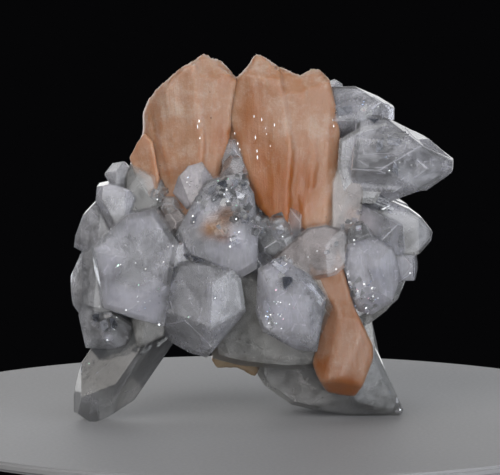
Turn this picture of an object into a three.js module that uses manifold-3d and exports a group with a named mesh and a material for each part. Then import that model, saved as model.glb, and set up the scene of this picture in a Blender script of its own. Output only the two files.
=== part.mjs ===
// A cluster of apophyllite crystals with peach stilbite sheaves, standing on its own crystals.
// Millimetres. X runs to the right, Y away from the viewer and Z up from the surface it stands on.
import * as THREE from 'three';
import { ConvexGeometry } from 'three/addons/geometries/ConvexGeometry.js';
import { mergeVertices } from 'three/addons/utils/BufferGeometryUtils.js';
import Module from 'manifold-3d';

const wasm = await Module();
wasm.setup();

// ---------------------------------------------------------------- driving dimensions
const CLUSTER_WIDTH = 83; // across the crystal tips, left to right
const CLUSTER_HEIGHT = 79; // from the resting tips to the stilbite crest
const CLUSTER_DEPTH = 60; // front faces to the rear crystals
const POCKET_GAP = 0.3; // clearance between a stilbite blade and the apophyllite that grew round it
const PYRAMID_ANGLE = 60.4; // degrees from the c axis to the normal of a {101} pyramid face
const LEFT_SHEAF_ROOT = [-15, 38]; // x and z where the blades of the left sheaf spring from
const RIGHT_SHEAF_ROOT = [5, 36];
const CORNER_TOLERANCE = 1e-6;

// ---------------------------------------------------------------- convex bodies from flat faces

// A flat face: every point p of the body has normal . p <= distance.
function flatFace(normal, through, grow = 0) {
  const unit = normal.clone().normalize();
  return { normal: unit, distance: unit.dot(through) + grow };
}

// The corners of the body that lies behind all the faces: each is where three faces meet.
function cornersOf(faces) {
  const corners = [];
  const cross = new THREE.Vector3();
  for (let i = 0; i < faces.length; i++) {
    for (let j = i + 1; j < faces.length; j++) {
      for (let k = j + 1; k < faces.length; k++) {
        const [a, b, c] = [faces[i], faces[j], faces[k]];
        const scale = a.normal.dot(cross.crossVectors(b.normal, c.normal));
        if (Math.abs(scale) < CORNER_TOLERANCE) continue;
        const corner = new THREE.Vector3()
          .addScaledVector(new THREE.Vector3().crossVectors(b.normal, c.normal), a.distance / scale)
          .addScaledVector(new THREE.Vector3().crossVectors(c.normal, a.normal), b.distance / scale)
          .addScaledVector(new THREE.Vector3().crossVectors(a.normal, b.normal), c.distance / scale);
        const inside = faces.every((face) => face.normal.dot(corner) <= face.distance + CORNER_TOLERANCE);
        const isNew = corners.every((other) => other.distanceTo(corner) > CORNER_TOLERANCE);
        if (inside && isNew) corners.push(corner);
      }
    }
  }
  return corners;
}

function solidFromGeometry(geometry) {
  geometry.deleteAttribute('normal');
  geometry.deleteAttribute('uv');
  const merged = mergeVertices(geometry, CORNER_TOLERANCE);
  const mesh = new wasm.Mesh({
    numProp: 3,
    vertProperties: new Float32Array(merged.attributes.position.array),
    triVerts: new Uint32Array(merged.index.array),
  });
  return new wasm.Manifold(mesh);
}

function solidFromFaces(faces) {
  return solidFromGeometry(new ConvexGeometry(cornersOf(faces)));
}

function joined(solids) {
  return solids.reduce((whole, solid) => whole.add(solid));
}

// Cutting can leave a splinter that stands on nothing: the piece is its largest body.
function largestBody(solid) {
  return solid.decompose().reduce((largest, body) => (body.volume() > largest.volume() ? body : largest));
}

// ---------------------------------------------------------------- two kinds of crystal

// A doubly bevelled column of tetragonal apophyllite. It ends at `tip`, where a small square basal
// face of half-width `cap` is left between four steep pyramid faces. They sit over the edges of a
// square prism of half-width `half`. `axis` is the way it points and `turn` its turn about it.
function spear({ tip, axis, turn = 0, half, cap, length }, grow = 0) {
  const end = new THREE.Vector3(...tip);
  const along = new THREE.Vector3(...axis).normalize();
  const steep = Math.abs(along.z) > 0.9;
  const reference = steep ? new THREE.Vector3(0, 1, 0) : new THREE.Vector3(0, 0, 1);
  const firstSide = reference.addScaledVector(along, -reference.dot(along)).normalize();
  const faces = [
    flatFace(along, end, grow),
    flatFace(along.clone().negate(), end.clone().addScaledVector(along, -length), grow),
  ];
  const lean = THREE.MathUtils.degToRad(PYRAMID_ANGLE);
  for (let quarter = 0; quarter < 4; quarter++) {
    const overEdge = THREE.MathUtils.degToRad(turn + 90 * quarter);
    const outToEdge = firstSide.clone().applyAxisAngle(along, overEdge);
    const outToSide = firstSide.clone().applyAxisAngle(along, overEdge + Math.PI / 4);
    const pyramid = along.clone().multiplyScalar(Math.cos(lean)).addScaledVector(outToEdge, Math.sin(lean));
    faces.push(flatFace(pyramid, end.clone().addScaledVector(outToEdge, cap), grow));
    faces.push(flatFace(outToSide, end.clone().addScaledVector(outToSide, half), grow));
  }
  return solidFromFaces(faces);
}

// A crystal or blade seen end on or side on: its `outline` is a convex ring of [x, z] corners at
// depth `girdle`, and its `faces` close it in front. Each face is [x, y, z, right, up]: a point on it,
// and how far it falls back for each millimetre to the right and up. `rear` faces close it behind
// in the same way, and `flare` is how far its sides spread for each millimetre they run back.
function block({ outline, girdle, faces, rear, flare = 0 }, grow = 0) {
  const centre = new THREE.Vector3();
  for (const [x, z] of outline) centre.add(new THREE.Vector3(x, girdle, z));
  centre.divideScalar(outline.length);
  const sides = outline.map(([x, z], index) => {
    const [nextX, nextZ] = outline[(index + 1) % outline.length];
    const through = new THREE.Vector3(x, girdle, z);
    const outward = new THREE.Vector3(nextZ - z, 0, x - nextX).normalize();
    if (outward.dot(through.clone().sub(centre)) < 0) outward.negate();
    outward.y = -flare;
    return flatFace(outward, through, grow);
  });
  const fronts = faces.map(([x, y, z, right, up]) =>
    flatFace(new THREE.Vector3(right, -1, up), new THREE.Vector3(x, y, z), grow));
  const rears = rear.map(([x, y, z, right, up]) =>
    flatFace(new THREE.Vector3(-right, 1, -up), new THREE.Vector3(x, y, z), grow));
  return solidFromFaces([...sides, ...fronts, ...rears]);
}

// ---------------------------------------------------------------- apophyllite, front of the cluster

const frontBlocks = {
  leftBlock: {
    outline: [[-36.7, 38.4], [-29.2, 45], [-23.3, 46.2], [-18.3, 39.2], [-21.4, 21.2], [-35.1, 25.8]],
    girdle: -22,
    faces: [[-28, -24.5, 32, -0.08, -0.1], [-28, -24.6, 36.6, 0.05, 0.55], [-22.1, -24.7, 29.6, 0.19, -0.5],
      [-35.3, -23.9, 34, -3, -0.5], [-29, -23.8, 24.2, -0.5, -1.6]],
    rear: [[-28, -4, 34, 0, 0]],
    flare: 0.02,
  },
  leftBlockSide: {
    outline: [[-39, 36.8], [-36.4, 38.4], [-31, 37], [-31, 25], [-35, 24.4], [-38.9, 25.1]],
    girdle: -16,
    faces: [[-38, -19, 31, -1.2, 0.1], [-34, -21.6, 31, 0, 0]],
    rear: [[-34, -3, 30, 0, 0]],
  },
  midBlock: {
    outline: [[-22.1, 24], [-21, 29.6], [-18.3, 35.3], [-14.5, 35.6], [-6.9, 33.9], [-5, 31.7], [-3.9, 24.5],
      [-4.8, 23.4], [-9.9, 16.2], [-11.9, 14.7], [-16, 15.6], [-20, 17.4], [-21.9, 19.2]],
    girdle: -21,
    faces: [[-11.2, -26, 26, -0.42, 0.1], [-11.2, -26, 26, 0.5, 0.06], [-14.5, -24.1, 33.2, 0.05, 0.8],
      [-11.3, -25.6, 20.7, -0.8, -1.1], [-11.3, -25.6, 20.7, 1.1, -1.05]],
    rear: [[-12, -4, 28, 0, 0]],
  },
  windowBlock: {
    outline: [[-19, 40.9], [-13.9, 49.8], [-12.4, 52.1], [-10.1, 52.8], [-4.6, 53.8], [-2.2, 49.4],
      [-1.3, 41.7], [-1.6, 33.8], [-5.2, 31.5], [-16.5, 35.8]],
    girdle: -18.5,
    faces: [[-8, -22.5, 38, -0.1, -0.22], [-8, -22.2, 43.5, 0.05, 0.34], [-14.5, -21.5, 43, -0.85, 0.4],
      [-3.2, -21.4, 42, 1.1, 0.3], [-6, -19.6, 51, 0.25, 1.1], [-11.5, -19.6, 50, -0.5, 1]],
    rear: [[-10, -2, 42, 0, 0]],
  },
  sparkBlock: {
    outline: [[-1.4, 33.8], [1.6, 35.3], [5, 35.1], [9.4, 32.5], [13.2, 27.6], [11.2, 15.9], [6.7, 16.3],
      [-0.5, 20.6], [-1.9, 24.6]],
    girdle: -20,
    faces: [[4, -24.3, 25, -0.12, -0.12], [4, -23.8, 31, 0.1, 0.62], [10.4, -23.4, 23, 1.15, 0],
      [9, -22.4, 30.4, 0.9, 0.8], [4, -23.4, 19.4, -0.2, -0.9], [-0.4, -23.6, 27, -1.1, 0.1]],
    rear: [[6, -3, 26, 0, 0]],
  },
  roseBlock: {
    outline: [[-13.4, 55.8], [-11, 52.3], [-14.4, 48.2], [-16.5, 45.6], [-19.7, 49.1], [-18.6, 52.4],
      [-16.2, 55]],
    girdle: -12,
    faces: [[-15.5, -14.8, 51, -0.12, 0.16], [-12.6, -14.2, 52, 0.9, 0.3], [-18, -14, 50, -0.8, -0.1],
      [-15, -14.2, 54, 0, 1.1]],
    rear: [[-15, -4, 50, 0, 0]],
  },
  paleBlock: {
    outline: [[-1.6, 32.7], [9.2, 41.8], [13.4, 42.4], [17.6, 41.2], [18.4, 34.3], [15.2, 31.9], [8.3, 30.6]],
    girdle: -14,
    faces: [[9, -17.4, 36, -0.18, 0.12], [11, -16.9, 39.6, 0.05, 0.8], [15, -17, 36, 0.6, 0.2]],
    rear: [[9, -1, 36, 0, 0]],
  },
  sparkleBlock: {
    outline: [[16.9, 33.5], [17.8, 38.4], [23, 40], [27.8, 37.4], [29.4, 31.2], [27.2, 25.7], [23.1, 22.9],
      [20.1, 23.8]],
    girdle: -13,
    faces: [[22.5, -17.5, 32, -0.25, 0.12], [26.6, -16.4, 31, 0.8, 0.1], [23.4, -16.4, 26, 0.1, -0.8],
      [23, -16.6, 36.6, 0.1, 0.75]],
    rear: [[22, -1, 32, 0, 0]],
  },
  greenBlock: {
    outline: [[16.1, 54.7], [17.9, 59.1], [19.4, 57], [20.8, 54.2], [21.4, 48.5], [20.4, 40], [14.6, 40],
      [14.6, 54]],
    girdle: -7,
    faces: [[18.4, -9.6, 50, 0.1, 0.04], [16.4, -9, 50, -0.6, 0.05]],
    rear: [[18, 4, 50, 0, 0]],
  },
  undersideBlock: {
    outline: [[19.8, 25.5], [27.8, 25.4], [26.3, 23.5], [23.1, 20.9], [20.7, 19.6]],
    girdle: -10,
    faces: [[24, -12.4, 23, 0.3, -0.6], [22, -12.4, 23, -0.7, -0.3]],
    rear: [[23, 2, 24, 0, 0]],
  },
  lowerPlate: {
    outline: [[-15, 26], [-11, 13.8], [-5.3, 12.4], [5.6, 11.4], [13.5, 11.6], [17, 20], [12, 31], [-10, 33]],
    girdle: -14,
    faces: [[-1, -18, 16, -0.08, -0.2], [-6, -17.8, 20, -0.35, 0.1], [9, -17.5, 16, 0.3, 0.05]],
    rear: [[0, 4, 20, 0, -0.3]],
  },
  rightFoot: {
    outline: [[-2, 14], [-1.4, 9.4], [0.1, 7], [5.9, 2.9], [18, 0.2], [24, -0.6], [29.4, -0.4], [30.4, 1.3],
      [20, 24], [0, 24]],
    girdle: -7.5,
    faces: [[8, -12.4, 10, -0.16, -0.16], [22, -12, 9, 0.5, 0.08], [14, -12, 2.6, 0.06, -1.2]],
    rear: [[10, 7, 10, 0.3, 0.1], [20, 7, 9, -0.7, 0.1], [12, 6, 3, 0, 1.2]],
  },
  footShoulder: {
    outline: [[19, 25], [23.4, 21], [24.3, 14], [22, 11], [17, 14]],
    girdle: -5,
    faces: [[22, -8.6, 18, 0.3, 0.05]],
    rear: [[21, 5, 18, 0, 0]],
  },
  spearShoulder: {
    outline: [[16.2, 60.4], [21, 63.2], [26.4, 63.8], [28, 54], [24, 46.6], [18, 46.6], [15.8, 54.6]],
    girdle: -7,
    faces: [[21, -9.6, 54.4, 0.1, 0.16], [21, -9.6, 54.4, 0.12, -0.12]],
    rear: [[21, 5, 55, 0, 0]],
  },
  bulgeBlock: {
    outline: [[24, 44], [28, 46.6], [31.4, 45], [34.6, 42.7], [37, 39.7], [36.6, 37.8], [33.9, 35.2], [22, 33]],
    girdle: -1,
    faces: [[30, -5.4, 40, 0.15, 0.1], [34, -4.6, 40, 0.9, 0.1], [31, -5, 44, 0.3, 0.7]],
    rear: [[28, 9, 40, -0.5, 0]],
  },
  ledgeBlock: {
    outline: [[-36.2, 51.3], [-33.5, 51.9], [-29, 50.5], [-27.5, 48.4], [-29.3, 43], [-33.2, 41],
      [-36.3, 47.3]],
    girdle: -12,
    faces: [[-31.6, -14.8, 47, -0.05, 0.1], [-35.2, -14, 48.5, -1.3, 0.3], [-29.2, -14.3, 47, 0.9, 0.1],
      [-31.5, -14.2, 50, 0.1, 0.9], [-33.8, -14, 44, -0.9, -0.35]],
    rear: [[-30, -2, 47, 0, 0]],
  },
  shoulderBlock: {
    outline: [[-36.4, 47], [-38.8, 43.9], [-40.4, 39.6], [-40.9, 37], [-39.4, 36.1], [-34, 36],
      [-31, 41], [-32, 46]],
    girdle: -9,
    faces: [[-37, -11.8, 41, -0.7, 0.25], [-35, -12.6, 41, 0.2, 0.15], [-39, -10.8, 38, -0.9, -0.5]],
    rear: [[-34, 2, 41, 0, 0]],
  },
  flankBlock: {
    outline: [[-39.2, 36.8], [-41.8, 31.1], [-41.3, 24.8], [-40, 22.8], [-34, 22.8], [-34, 36.8]],
    girdle: -10,
    faces: [[-38, -14.6, 30, -0.4, 0.1], [-40.4, -13.6, 31, -1.4, 0.5], [-38, -14.2, 26, -0.4, -0.6]],
    rear: [[-36, 4, 30, 0.4, 0]],
  },
  domeBlock: {
    outline: [[-29, 55.2], [-24.6, 53.3], [-22, 51.7], [-21, 49.4], [-21.8, 45.6], [-27, 43.6], [-30, 45],
      [-30, 52.4]],
    girdle: -9,
    faces: [[-26, -12, 48, 0.02, 0.25], [-22.8, -11.2, 49, 0.9, 0.3], [-26, -11, 52.6, 0, 0.9],
      [-29.2, -11, 51, -0.5, 0.6]],
    rear: [[-25, 0, 49, 0, 0]],
  },
  cornerBlock: {
    outline: [[-39.9, 23.2], [-38.6, 26.5], [-35, 27], [-27.6, 20.8], [-29.6, 16.4], [-33.1, 15.8],
      [-38.3, 16.1]],
    girdle: -15,
    faces: [[-34.5, -19.6, 21.5, -0.3, -0.1], [-31, -19, 20, 0.5, -0.5], [-34, -18.4, 17.6, 0, -1.1],
      [-38, -18.4, 21, -1.1, -0.1]],
    rear: [[-34, -2, 21, 0, 0]],
  },
  wedgeBlock: {
    outline: [[-28.8, 24], [-27.4, 16.6], [-25.9, 16.6], [-21.4, 18.8], [-21, 24]],
    girdle: -17,
    faces: [[-26.6, -19.8, 19.5, -0.7, -0.2], [-24.6, -19.5, 20, 0.45, -0.5]],
    rear: [[-25, -3, 20, 0, 0]],
  },
};

// ---------------------------------------------------------------- apophyllite, crystals that point outward

const outwardSpears = {
  rightSpear: { tip: [41, -6, 54.7], axis: [1, -0.1, -0.05], turn: 8, half: 7.1, cap: 1.2, length: 21.5 },
  upperSpear: { tip: [28.4, -1, 65.8], axis: [1, 0.03, 0.02], turn: 10, half: 4.4, cap: 1.3, length: 14 },
  crestSpear: { tip: [16.4, 5, 72.4], axis: [0.5, 0.1, 0.85], turn: 20, half: 2.6, cap: 0.8, length: 16 },
  sideSpear: { tip: [32.9, -7, 32.4], axis: [1, -0.25, -0.05], turn: 45, half: 2.8, cap: 2.5, length: 14 },
  leftSpear: { tip: [-40.2, -4, 30.4], axis: [-0.94, 0.1, 0.12], turn: 14, half: 5.6, cap: 1.6, length: 22 },
  lowLeftSpear: { tip: [-39.6, -5, 22], axis: [-0.9, 0.1, -0.35], turn: 30, half: 3.8, cap: 1.6, length: 18 },
  pegSpear: { tip: [-32.6, -7, 54.3], axis: [-0.5, -0.35, 0.75], turn: 15, half: 2.7, cap: 1.7, length: 14 },
  leftFoot: { tip: [-39.2, -14.5, 0.6], axis: [-0.56, -0.22, -0.8], turn: 6, half: 5.2, cap: 1.9, length: 34 },
  rearFoot: { tip: [19, 19, -0.6], axis: [0.2, 0.35, -0.9], turn: 20, half: 7, cap: 4, length: 32 },
};

// Small clear crystals in the hollow between the window block and the right sheaf.
const hollowSpears = {
  glintOne: { tip: [3.4, -14.5, 43.2], axis: [0.2, -0.7, 0.7], turn: 10, half: 2.6, cap: 1.2, length: 12 },
  glintTwo: { tip: [0.6, -15, 39.4], axis: [-0.2, -0.9, 0.4], turn: 35, half: 2.8, cap: 1.5, length: 12 },
  glintThree: { tip: [5.6, -15, 38.8], axis: [0.35, -0.85, 0.2], turn: 20, half: 2.4, cap: 1.1, length: 12 },
  glintFour: { tip: [-0.4, -13.6, 43.4], axis: [-0.1, -0.6, 0.8], turn: 25, half: 1.9, cap: 0.7, length: 10 },
  glintFive: { tip: [21, -14.5, 41.2], axis: [0.1, -0.8, 0.55], turn: 20, half: 2.8, cap: 1.3, length: 12 },
  glintSix: { tip: [-20.6, -12.6, 47.6], axis: [-0.1, -0.7, 0.6], turn: 0, half: 2.2, cap: 1, length: 10 },
};

// Crystals on the sides and rear, where the cluster is finished as it grew.
const rearSpears = {
  rearTop: { tip: [-3, 20, 60], axis: [-0.1, 0.5, 0.85], turn: 12, half: 6.4, cap: 2.8, length: 34 },
  rearTopLeft: { tip: [-21, 17, 57], axis: [-0.45, 0.55, 0.7], turn: 30, half: 5.6, cap: 2.2, length: 32 },
  rearTopRight: { tip: [17, 18, 60], axis: [0.4, 0.55, 0.75], turn: 22, half: 5.4, cap: 2, length: 32 },
  rearMiddle: { tip: [-2, 30, 40], axis: [0.05, 1, 0.12], turn: 18, half: 7.8, cap: 4.2, length: 34 },
  rearLeft: { tip: [-26, 25, 38], axis: [-0.55, 0.8, 0.12], turn: 8, half: 6.6, cap: 3, length: 34 },
  rearRight: { tip: [22, 25, 41], axis: [0.5, 0.8, 0.05], turn: 35, half: 6.4, cap: 2.6, length: 34 },
  rearLowLeft: { tip: [-17, 25, 21], axis: [-0.35, 0.8, -0.4], turn: 25, half: 6.8, cap: 3.4, length: 32 },
  rearLowRight: { tip: [6, 27, 24], axis: [0.1, 0.85, -0.35], turn: 5, half: 6.2, cap: 2.6, length: 32 },
  rearHip: { tip: [30, 15, 26], axis: [0.75, 0.5, -0.2], turn: 20, half: 5.8, cap: 2.4, length: 30 },
  leftHip: { tip: [-38, 10, 41], axis: [-0.85, 0.4, 0.3], turn: 10, half: 5.8, cap: 2, length: 30 },
  leftLowHip: { tip: [-36, 9, 25], axis: [-0.85, 0.4, -0.15], turn: 28, half: 5.4, cap: 2.4, length: 28 },
  rightHip: { tip: [31, 11, 43], axis: [0.85, 0.4, 0.1], turn: 15, half: 6, cap: 2.6, length: 30 },
  rightHighHip: { tip: [30, 9, 57], axis: [0.7, 0.4, 0.5], turn: 33, half: 4.6, cap: 1.6, length: 26 },
};

// The oldest growth in the middle, which every other crystal stands on.
const coreSpears = {
  coreLeft: { tip: [-34, 0, 36], axis: [-0.9, 0, 0.1], turn: 20, half: 9, cap: 6, length: 34 },
  coreRight: { tip: [30, 0, 37], axis: [0.9, 0.1, 0.1], turn: 12, half: 9.5, cap: 6, length: 38 },
  coreHigh: { tip: [0, 4, 54], axis: [0, 0.15, 1], turn: 30, half: 11, cap: 8, length: 40 },
  coreFront: { tip: [-10, -14, 34], axis: [-0.1, -1, 0], turn: 30, half: 10, cap: 8, length: 30 },
  coreFrontRight: { tip: [12, -10, 31], axis: [0.1, -1, 0], turn: 15, half: 9, cap: 7, length: 26 },
};

// ---------------------------------------------------------------- stilbite sheaves

const leftSheaf = {
  crest: {
    outline: [[-13.4, 78.6], [-12.1, 78.4], [-6.8, 73.2], [-8.2, 60], [-12, 42], [-17, 42], [-21.5, 71]],
    girdle: -6,
    faces: [[-13, -9.6, 62, -0.06, 0.03], [-9, -9.1, 62, 0.45, 0.02], [-13, -8, 76, 0.05, 0.6]],
    rear: [[-13, -2, 62, 0, 0.02]],
  },
  shoulder: {
    outline: [[-18.1, 75.6], [-15, 77.2], [-13, 60], [-14.5, 42], [-18, 42], [-24.6, 68.8], [-23.4, 71]],
    girdle: -6,
    faces: [[-18.6, -9.3, 62, -0.24, 0.05], [-22.4, -8, 64, -0.8, 0.05]],
    rear: [[-18, -2.4, 62, 0.05, 0.02]],
  },
  flank: {
    outline: [[-24.9, 69.2], [-22.6, 70.8], [-18, 58], [-16, 42], [-19.5, 42], [-26.1, 60.8], [-26.2, 66]],
    girdle: -4.5,
    faces: [[-22.6, -7.4, 60, -0.4, 0.04], [-25.2, -6, 62, -1.1, 0]],
    rear: [[-22, -1, 60, 0.2, 0]],
  },
  hip: {
    outline: [[-26.4, 61.2], [-25, 64.2], [-20, 56], [-18, 43], [-21, 44], [-28.8, 56.2]],
    girdle: -4,
    faces: [[-24.4, -6.4, 56, -0.5, 0.1], [-27.4, -5, 57, -1.2, 0.1]],
    rear: [[-24, -0.4, 56, 0.3, 0]],
  },
  step: {
    outline: [[-10.9, 77.6], [-9.7, 77.4], [-7.8, 74.6], [-8.4, 60], [-12, 44], [-14, 60]],
    girdle: -4,
    faces: [[-10, -7.2, 66, 0.3, 0.04]],
    rear: [[-10, -1, 66, 0.1, 0]],
  },
  wing: {
    outline: [[-7.2, 73.8], [-5.9, 72.4], [-7.4, 62.5], [-9.2, 52.6], [-12.5, 42], [-14.4, 44], [-10, 68]],
    girdle: -3.5,
    faces: [[-8, -6.4, 62, 0.8, 0.02]],
    rear: [[-9, -0.6, 62, -0.2, 0]],
  },
};

const rightSheaf = {
  crest: {
    outline: [[-1.8, 78.8], [-0.2, 78.2], [3.2, 75.6], [6, 58], [5, 42], [1.5, 42], [-3.7, 53.4],
      [-6.6, 66], [-5, 73.8]],
    girdle: -6,
    faces: [[0, -10.4, 60, -0.1, 0.03], [-4.4, -9.6, 62, -0.6, 0.05], [0, -8.6, 76, 0, 0.7]],
    rear: [[0, -2, 60, 0, 0.02]],
  },
  leftWing: {
    outline: [[-5.9, 72.6], [-3.4, 76.2], [-1.6, 66], [1, 44], [-1.6, 46], [-5.4, 55], [-7.5, 62.4]],
    girdle: -4.5,
    faces: [[-4, -8.2, 62, -0.5, 0.02], [-6.4, -7, 63, -1.2, 0]],
    rear: [[-4, -1, 60, 0.2, 0]],
  },
  middle: {
    outline: [[3.8, 75.7], [8.4, 73.6], [11, 58], [10, 41], [3, 41], [0.6, 60], [1, 75]],
    girdle: -6,
    faces: [[5, -10, 58, 0.08, 0.02], [5, -8.6, 73, 0.05, 0.45], [8, -9.6, 48, 0.15, -0.12]],
    rear: [[5, -1.6, 60, 0, 0.03]],
  },
  rightCrest: {
    outline: [[8.4, 74.2], [10.4, 75.5], [11.9, 75.3], [14.2, 73.1], [16.3, 62], [15.9, 41], [8.6, 41],
      [6.6, 60]],
    girdle: -5,
    faces: [[10, -9.2, 58, 0.22, 0.03], [14, -8, 58, 0.9, 0.02], [11, -7.4, 73.4, 0.1, 0.8]],
    rear: [[11, -1.4, 58, -0.1, 0]],
  },
  rightEdge: {
    outline: [[12.6, 70], [15.5, 67.2], [16.4, 60], [16, 44], [12, 44], [11, 60]],
    girdle: -3,
    faces: [[14, -6, 56, 0.6, 0.02]],
    rear: [[14, -0.6, 56, -0.3, 0]],
  },
};

const lowerBlade = {
  neck: {
    outline: [[9, 38], [9.6, 32.8], [13.8, 26.6], [16.4, 23.4], [19, 24.8], [16.4, 34], [15.2, 38]],
    girdle: -13,
    faces: [[15, -18.4, 24.5, 0.05, 0.34], [18, -18, 25, 0.8, 0.4]],
    rear: [[15, -9, 32, 0, 0.5]],
  },
  bell: {
    outline: [[13.6, 27.2], [10.7, 12.8], [11.5, 10.5], [13.7, 6.7], [19.4, 5.6], [20.9, 8.3], [23, 13.9],
      [23, 16.6], [17.8, 27.2]],
    girdle: -15.5,
    faces: [[17, -19.4, 22, 0.04, 0.1], [17.6, -20.2, 14, 0.3, -0.04], [17, -19.4, 8.8, 0, -1.1],
      [13.4, -19.2, 15, -0.8, 0.3], [16, -19.2, 23, 0.04, 0.55]],
    rear: [[17, -13.4, 20, 0, -0.05]],
  },
  side: {
    outline: [[13, 22], [10.8, 12.8], [11.6, 10.4], [13.8, 6.8], [17, 6.8], [18, 20]],
    girdle: -14,
    faces: [[14, -17.4, 15, -0.3, 0.05], [14, -16.6, 8.4, -0.3, -1]],
    rear: [[15, -12.6, 18, 0, 0]],
  },
};

const sideBlade = {
  blade: {
    outline: [[-29, 56.4], [-27.2, 59.8], [-25.9, 61.6], [-24.2, 60], [-22.8, 52], [-24, 48], [-27, 51]],
    girdle: -7,
    faces: [[-26, -9, 57, -0.4, 0.1]],
    rear: [[-26, -7, 57, -0.2, 0]],
  },
};

const underPlate = {
  plate: {
    outline: [[-11.4, 13], [-10.3, 11.1], [-5.5, 11.1], [0, 11.6], [0, 16], [-8, 18]],
    girdle: -8,
    faces: [[-6, -11, 12, 0.1, -0.3]],
    rear: [[-6, 2, 12, 0, -0.3]],
  },
  tongue: {
    outline: [[-6.2, 11.4], [-2, 8.8], [-0.6, 11.8], [0, 14], [-6, 14]],
    girdle: -8,
    faces: [[-3, -10.4, 11, 0.2, -0.2]],
    rear: [[-3, 1, 12, 0, -0.3]],
  },
};

// ---------------------------------------------------------------- joining and cutting

function blades(specs, grow = 0) {
  return joined(Object.values(specs).map((spec) => block(spec, grow)));
}

// The next layer of a sheaf behind the first: the same blades drawn in towards the root, swayed
// sideways and stepped back.
function layerBehind(specs, { root, back, scale, sway, lean }) {
  const [rootX, rootZ] = root;
  const drawn = ([x, z]) => [
    rootX + (x - rootX) * scale + (z - rootZ) * sway,
    rootZ + (z - rootZ) * scale,
  ];
  const stepped = ([x, y, z, right, up]) => {
    const [newX, newZ] = drawn([x, z]);
    return [newX, y + back + (newZ - rootZ) * lean, newZ, right, up + lean];
  };
  const layer = {};
  for (const [name, { outline, girdle, faces, rear }] of Object.entries(specs)) {
    layer[`${name}${back}`] = {
      outline: outline.map(drawn),
      girdle: girdle + back,
      faces: faces.map(stepped),
      rear: rear.map(stepped),
    };
  }
  return layer;
}

function sheaf(front, root) {
  return {
    ...front,
    ...layerBehind(front, { root, back: 5, scale: 0.95, sway: 0.03, lean: 0.02 }),
    ...layerBehind(front, { root, back: 9.5, scale: 0.9, sway: -0.04, lean: 0.07 }),
  };
}

const apophylliteGrowth = joined([
  ...Object.values(frontBlocks).map((spec) => block(spec)),
  ...[outwardSpears, hollowSpears, rearSpears, coreSpears]
    .flatMap((group) => Object.values(group))
    .map((spec) => spear(spec)),
]);

const floorStock = new THREE.BoxGeometry(2 * CLUSTER_WIDTH, 2 * CLUSTER_DEPTH, 2 * CLUSTER_HEIGHT);
floorStock.translate(0, 0, CLUSTER_HEIGHT);
const aboveFloor = solidFromGeometry(floorStock);

const stilbite = {
  stilbite_left_sheaf: sheaf(leftSheaf, LEFT_SHEAF_ROOT),
  stilbite_right_sheaf: sheaf(rightSheaf, RIGHT_SHEAF_ROOT),
  stilbite_lower_blade: lowerBlade,
  stilbite_side_blade: sideBlade,
  stilbite_under_plate: underPlate,
};

const solids = {};
let pockets = null;
for (const [name, specs] of Object.entries(stilbite)) {
  const solid = blades(specs);
  solids[name] = largestBody(pockets ? solid.subtract(pockets) : solid);
  const pocket = blades(specs, POCKET_GAP);
  pockets = pockets ? pockets.add(pocket) : pocket;
}
solids.apophyllite_cluster = largestBody(apophylliteGrowth.intersect(aboveFloor).subtract(pockets));

// ---------------------------------------------------------------- scene graph

function geometryOf(solid) {
  const { vertProperties, triVerts } = solid.getMesh();
  const geometry = new THREE.BufferGeometry();
  geometry.setAttribute('position', new THREE.BufferAttribute(vertProperties, 3));
  geometry.setIndex(new THREE.BufferAttribute(triVerts, 1));
  return geometry;
}

const finishes = {
  apophyllite: { color: 0xb9bcc2, roughness: 0.12, metalness: 0 },
  stilbite: { color: 0xd49a72, roughness: 0.4, metalness: 0 },
};

const cluster = new THREE.Group();
for (const [name, solid] of Object.entries(solids)) {
  const finish = name.startsWith('stilbite') ? finishes.stilbite : finishes.apophyllite;
  const mesh = new THREE.Mesh(geometryOf(solid), new THREE.MeshStandardMaterial(finish));
  mesh.name = name;
  cluster.add(mesh);
}

// The origin is the middle of the footprint, on the surface the cluster stands on.
const extent = new THREE.Box3().setFromObject(cluster);
const middle = extent.getCenter(new THREE.Vector3());
cluster.position.set(-middle.x, -middle.y, -extent.min.z);

export default cluster;
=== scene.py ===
"""Looks of an apophyllite cluster with peach stilbite sheaves.

The apophyllite is grown again from the same faces as the solids, with worn edges, growth steps
and the small second crop of crystals in its crevices. The stilbite is rounded and ribbed from
its own solids. Sizes are in millimetres in the frame that the crystals were laid out in, and
become metres in the row frame when a mesh is made.
"""

import itertools
import logging
import math
from collections.abc import Iterable, Sequence
from dataclasses import dataclass, field, fields
from enum import Enum
from random import Random

import bmesh
import bpy
import numpy as np
from bmesh.types import BMesh, BMVert
from bpy.types import ID, Material, Mesh, NodeSocket, NodeTree, Object
from mathutils import Matrix, Vector, noise
from mathutils.bvhtree import BVHTree


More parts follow.
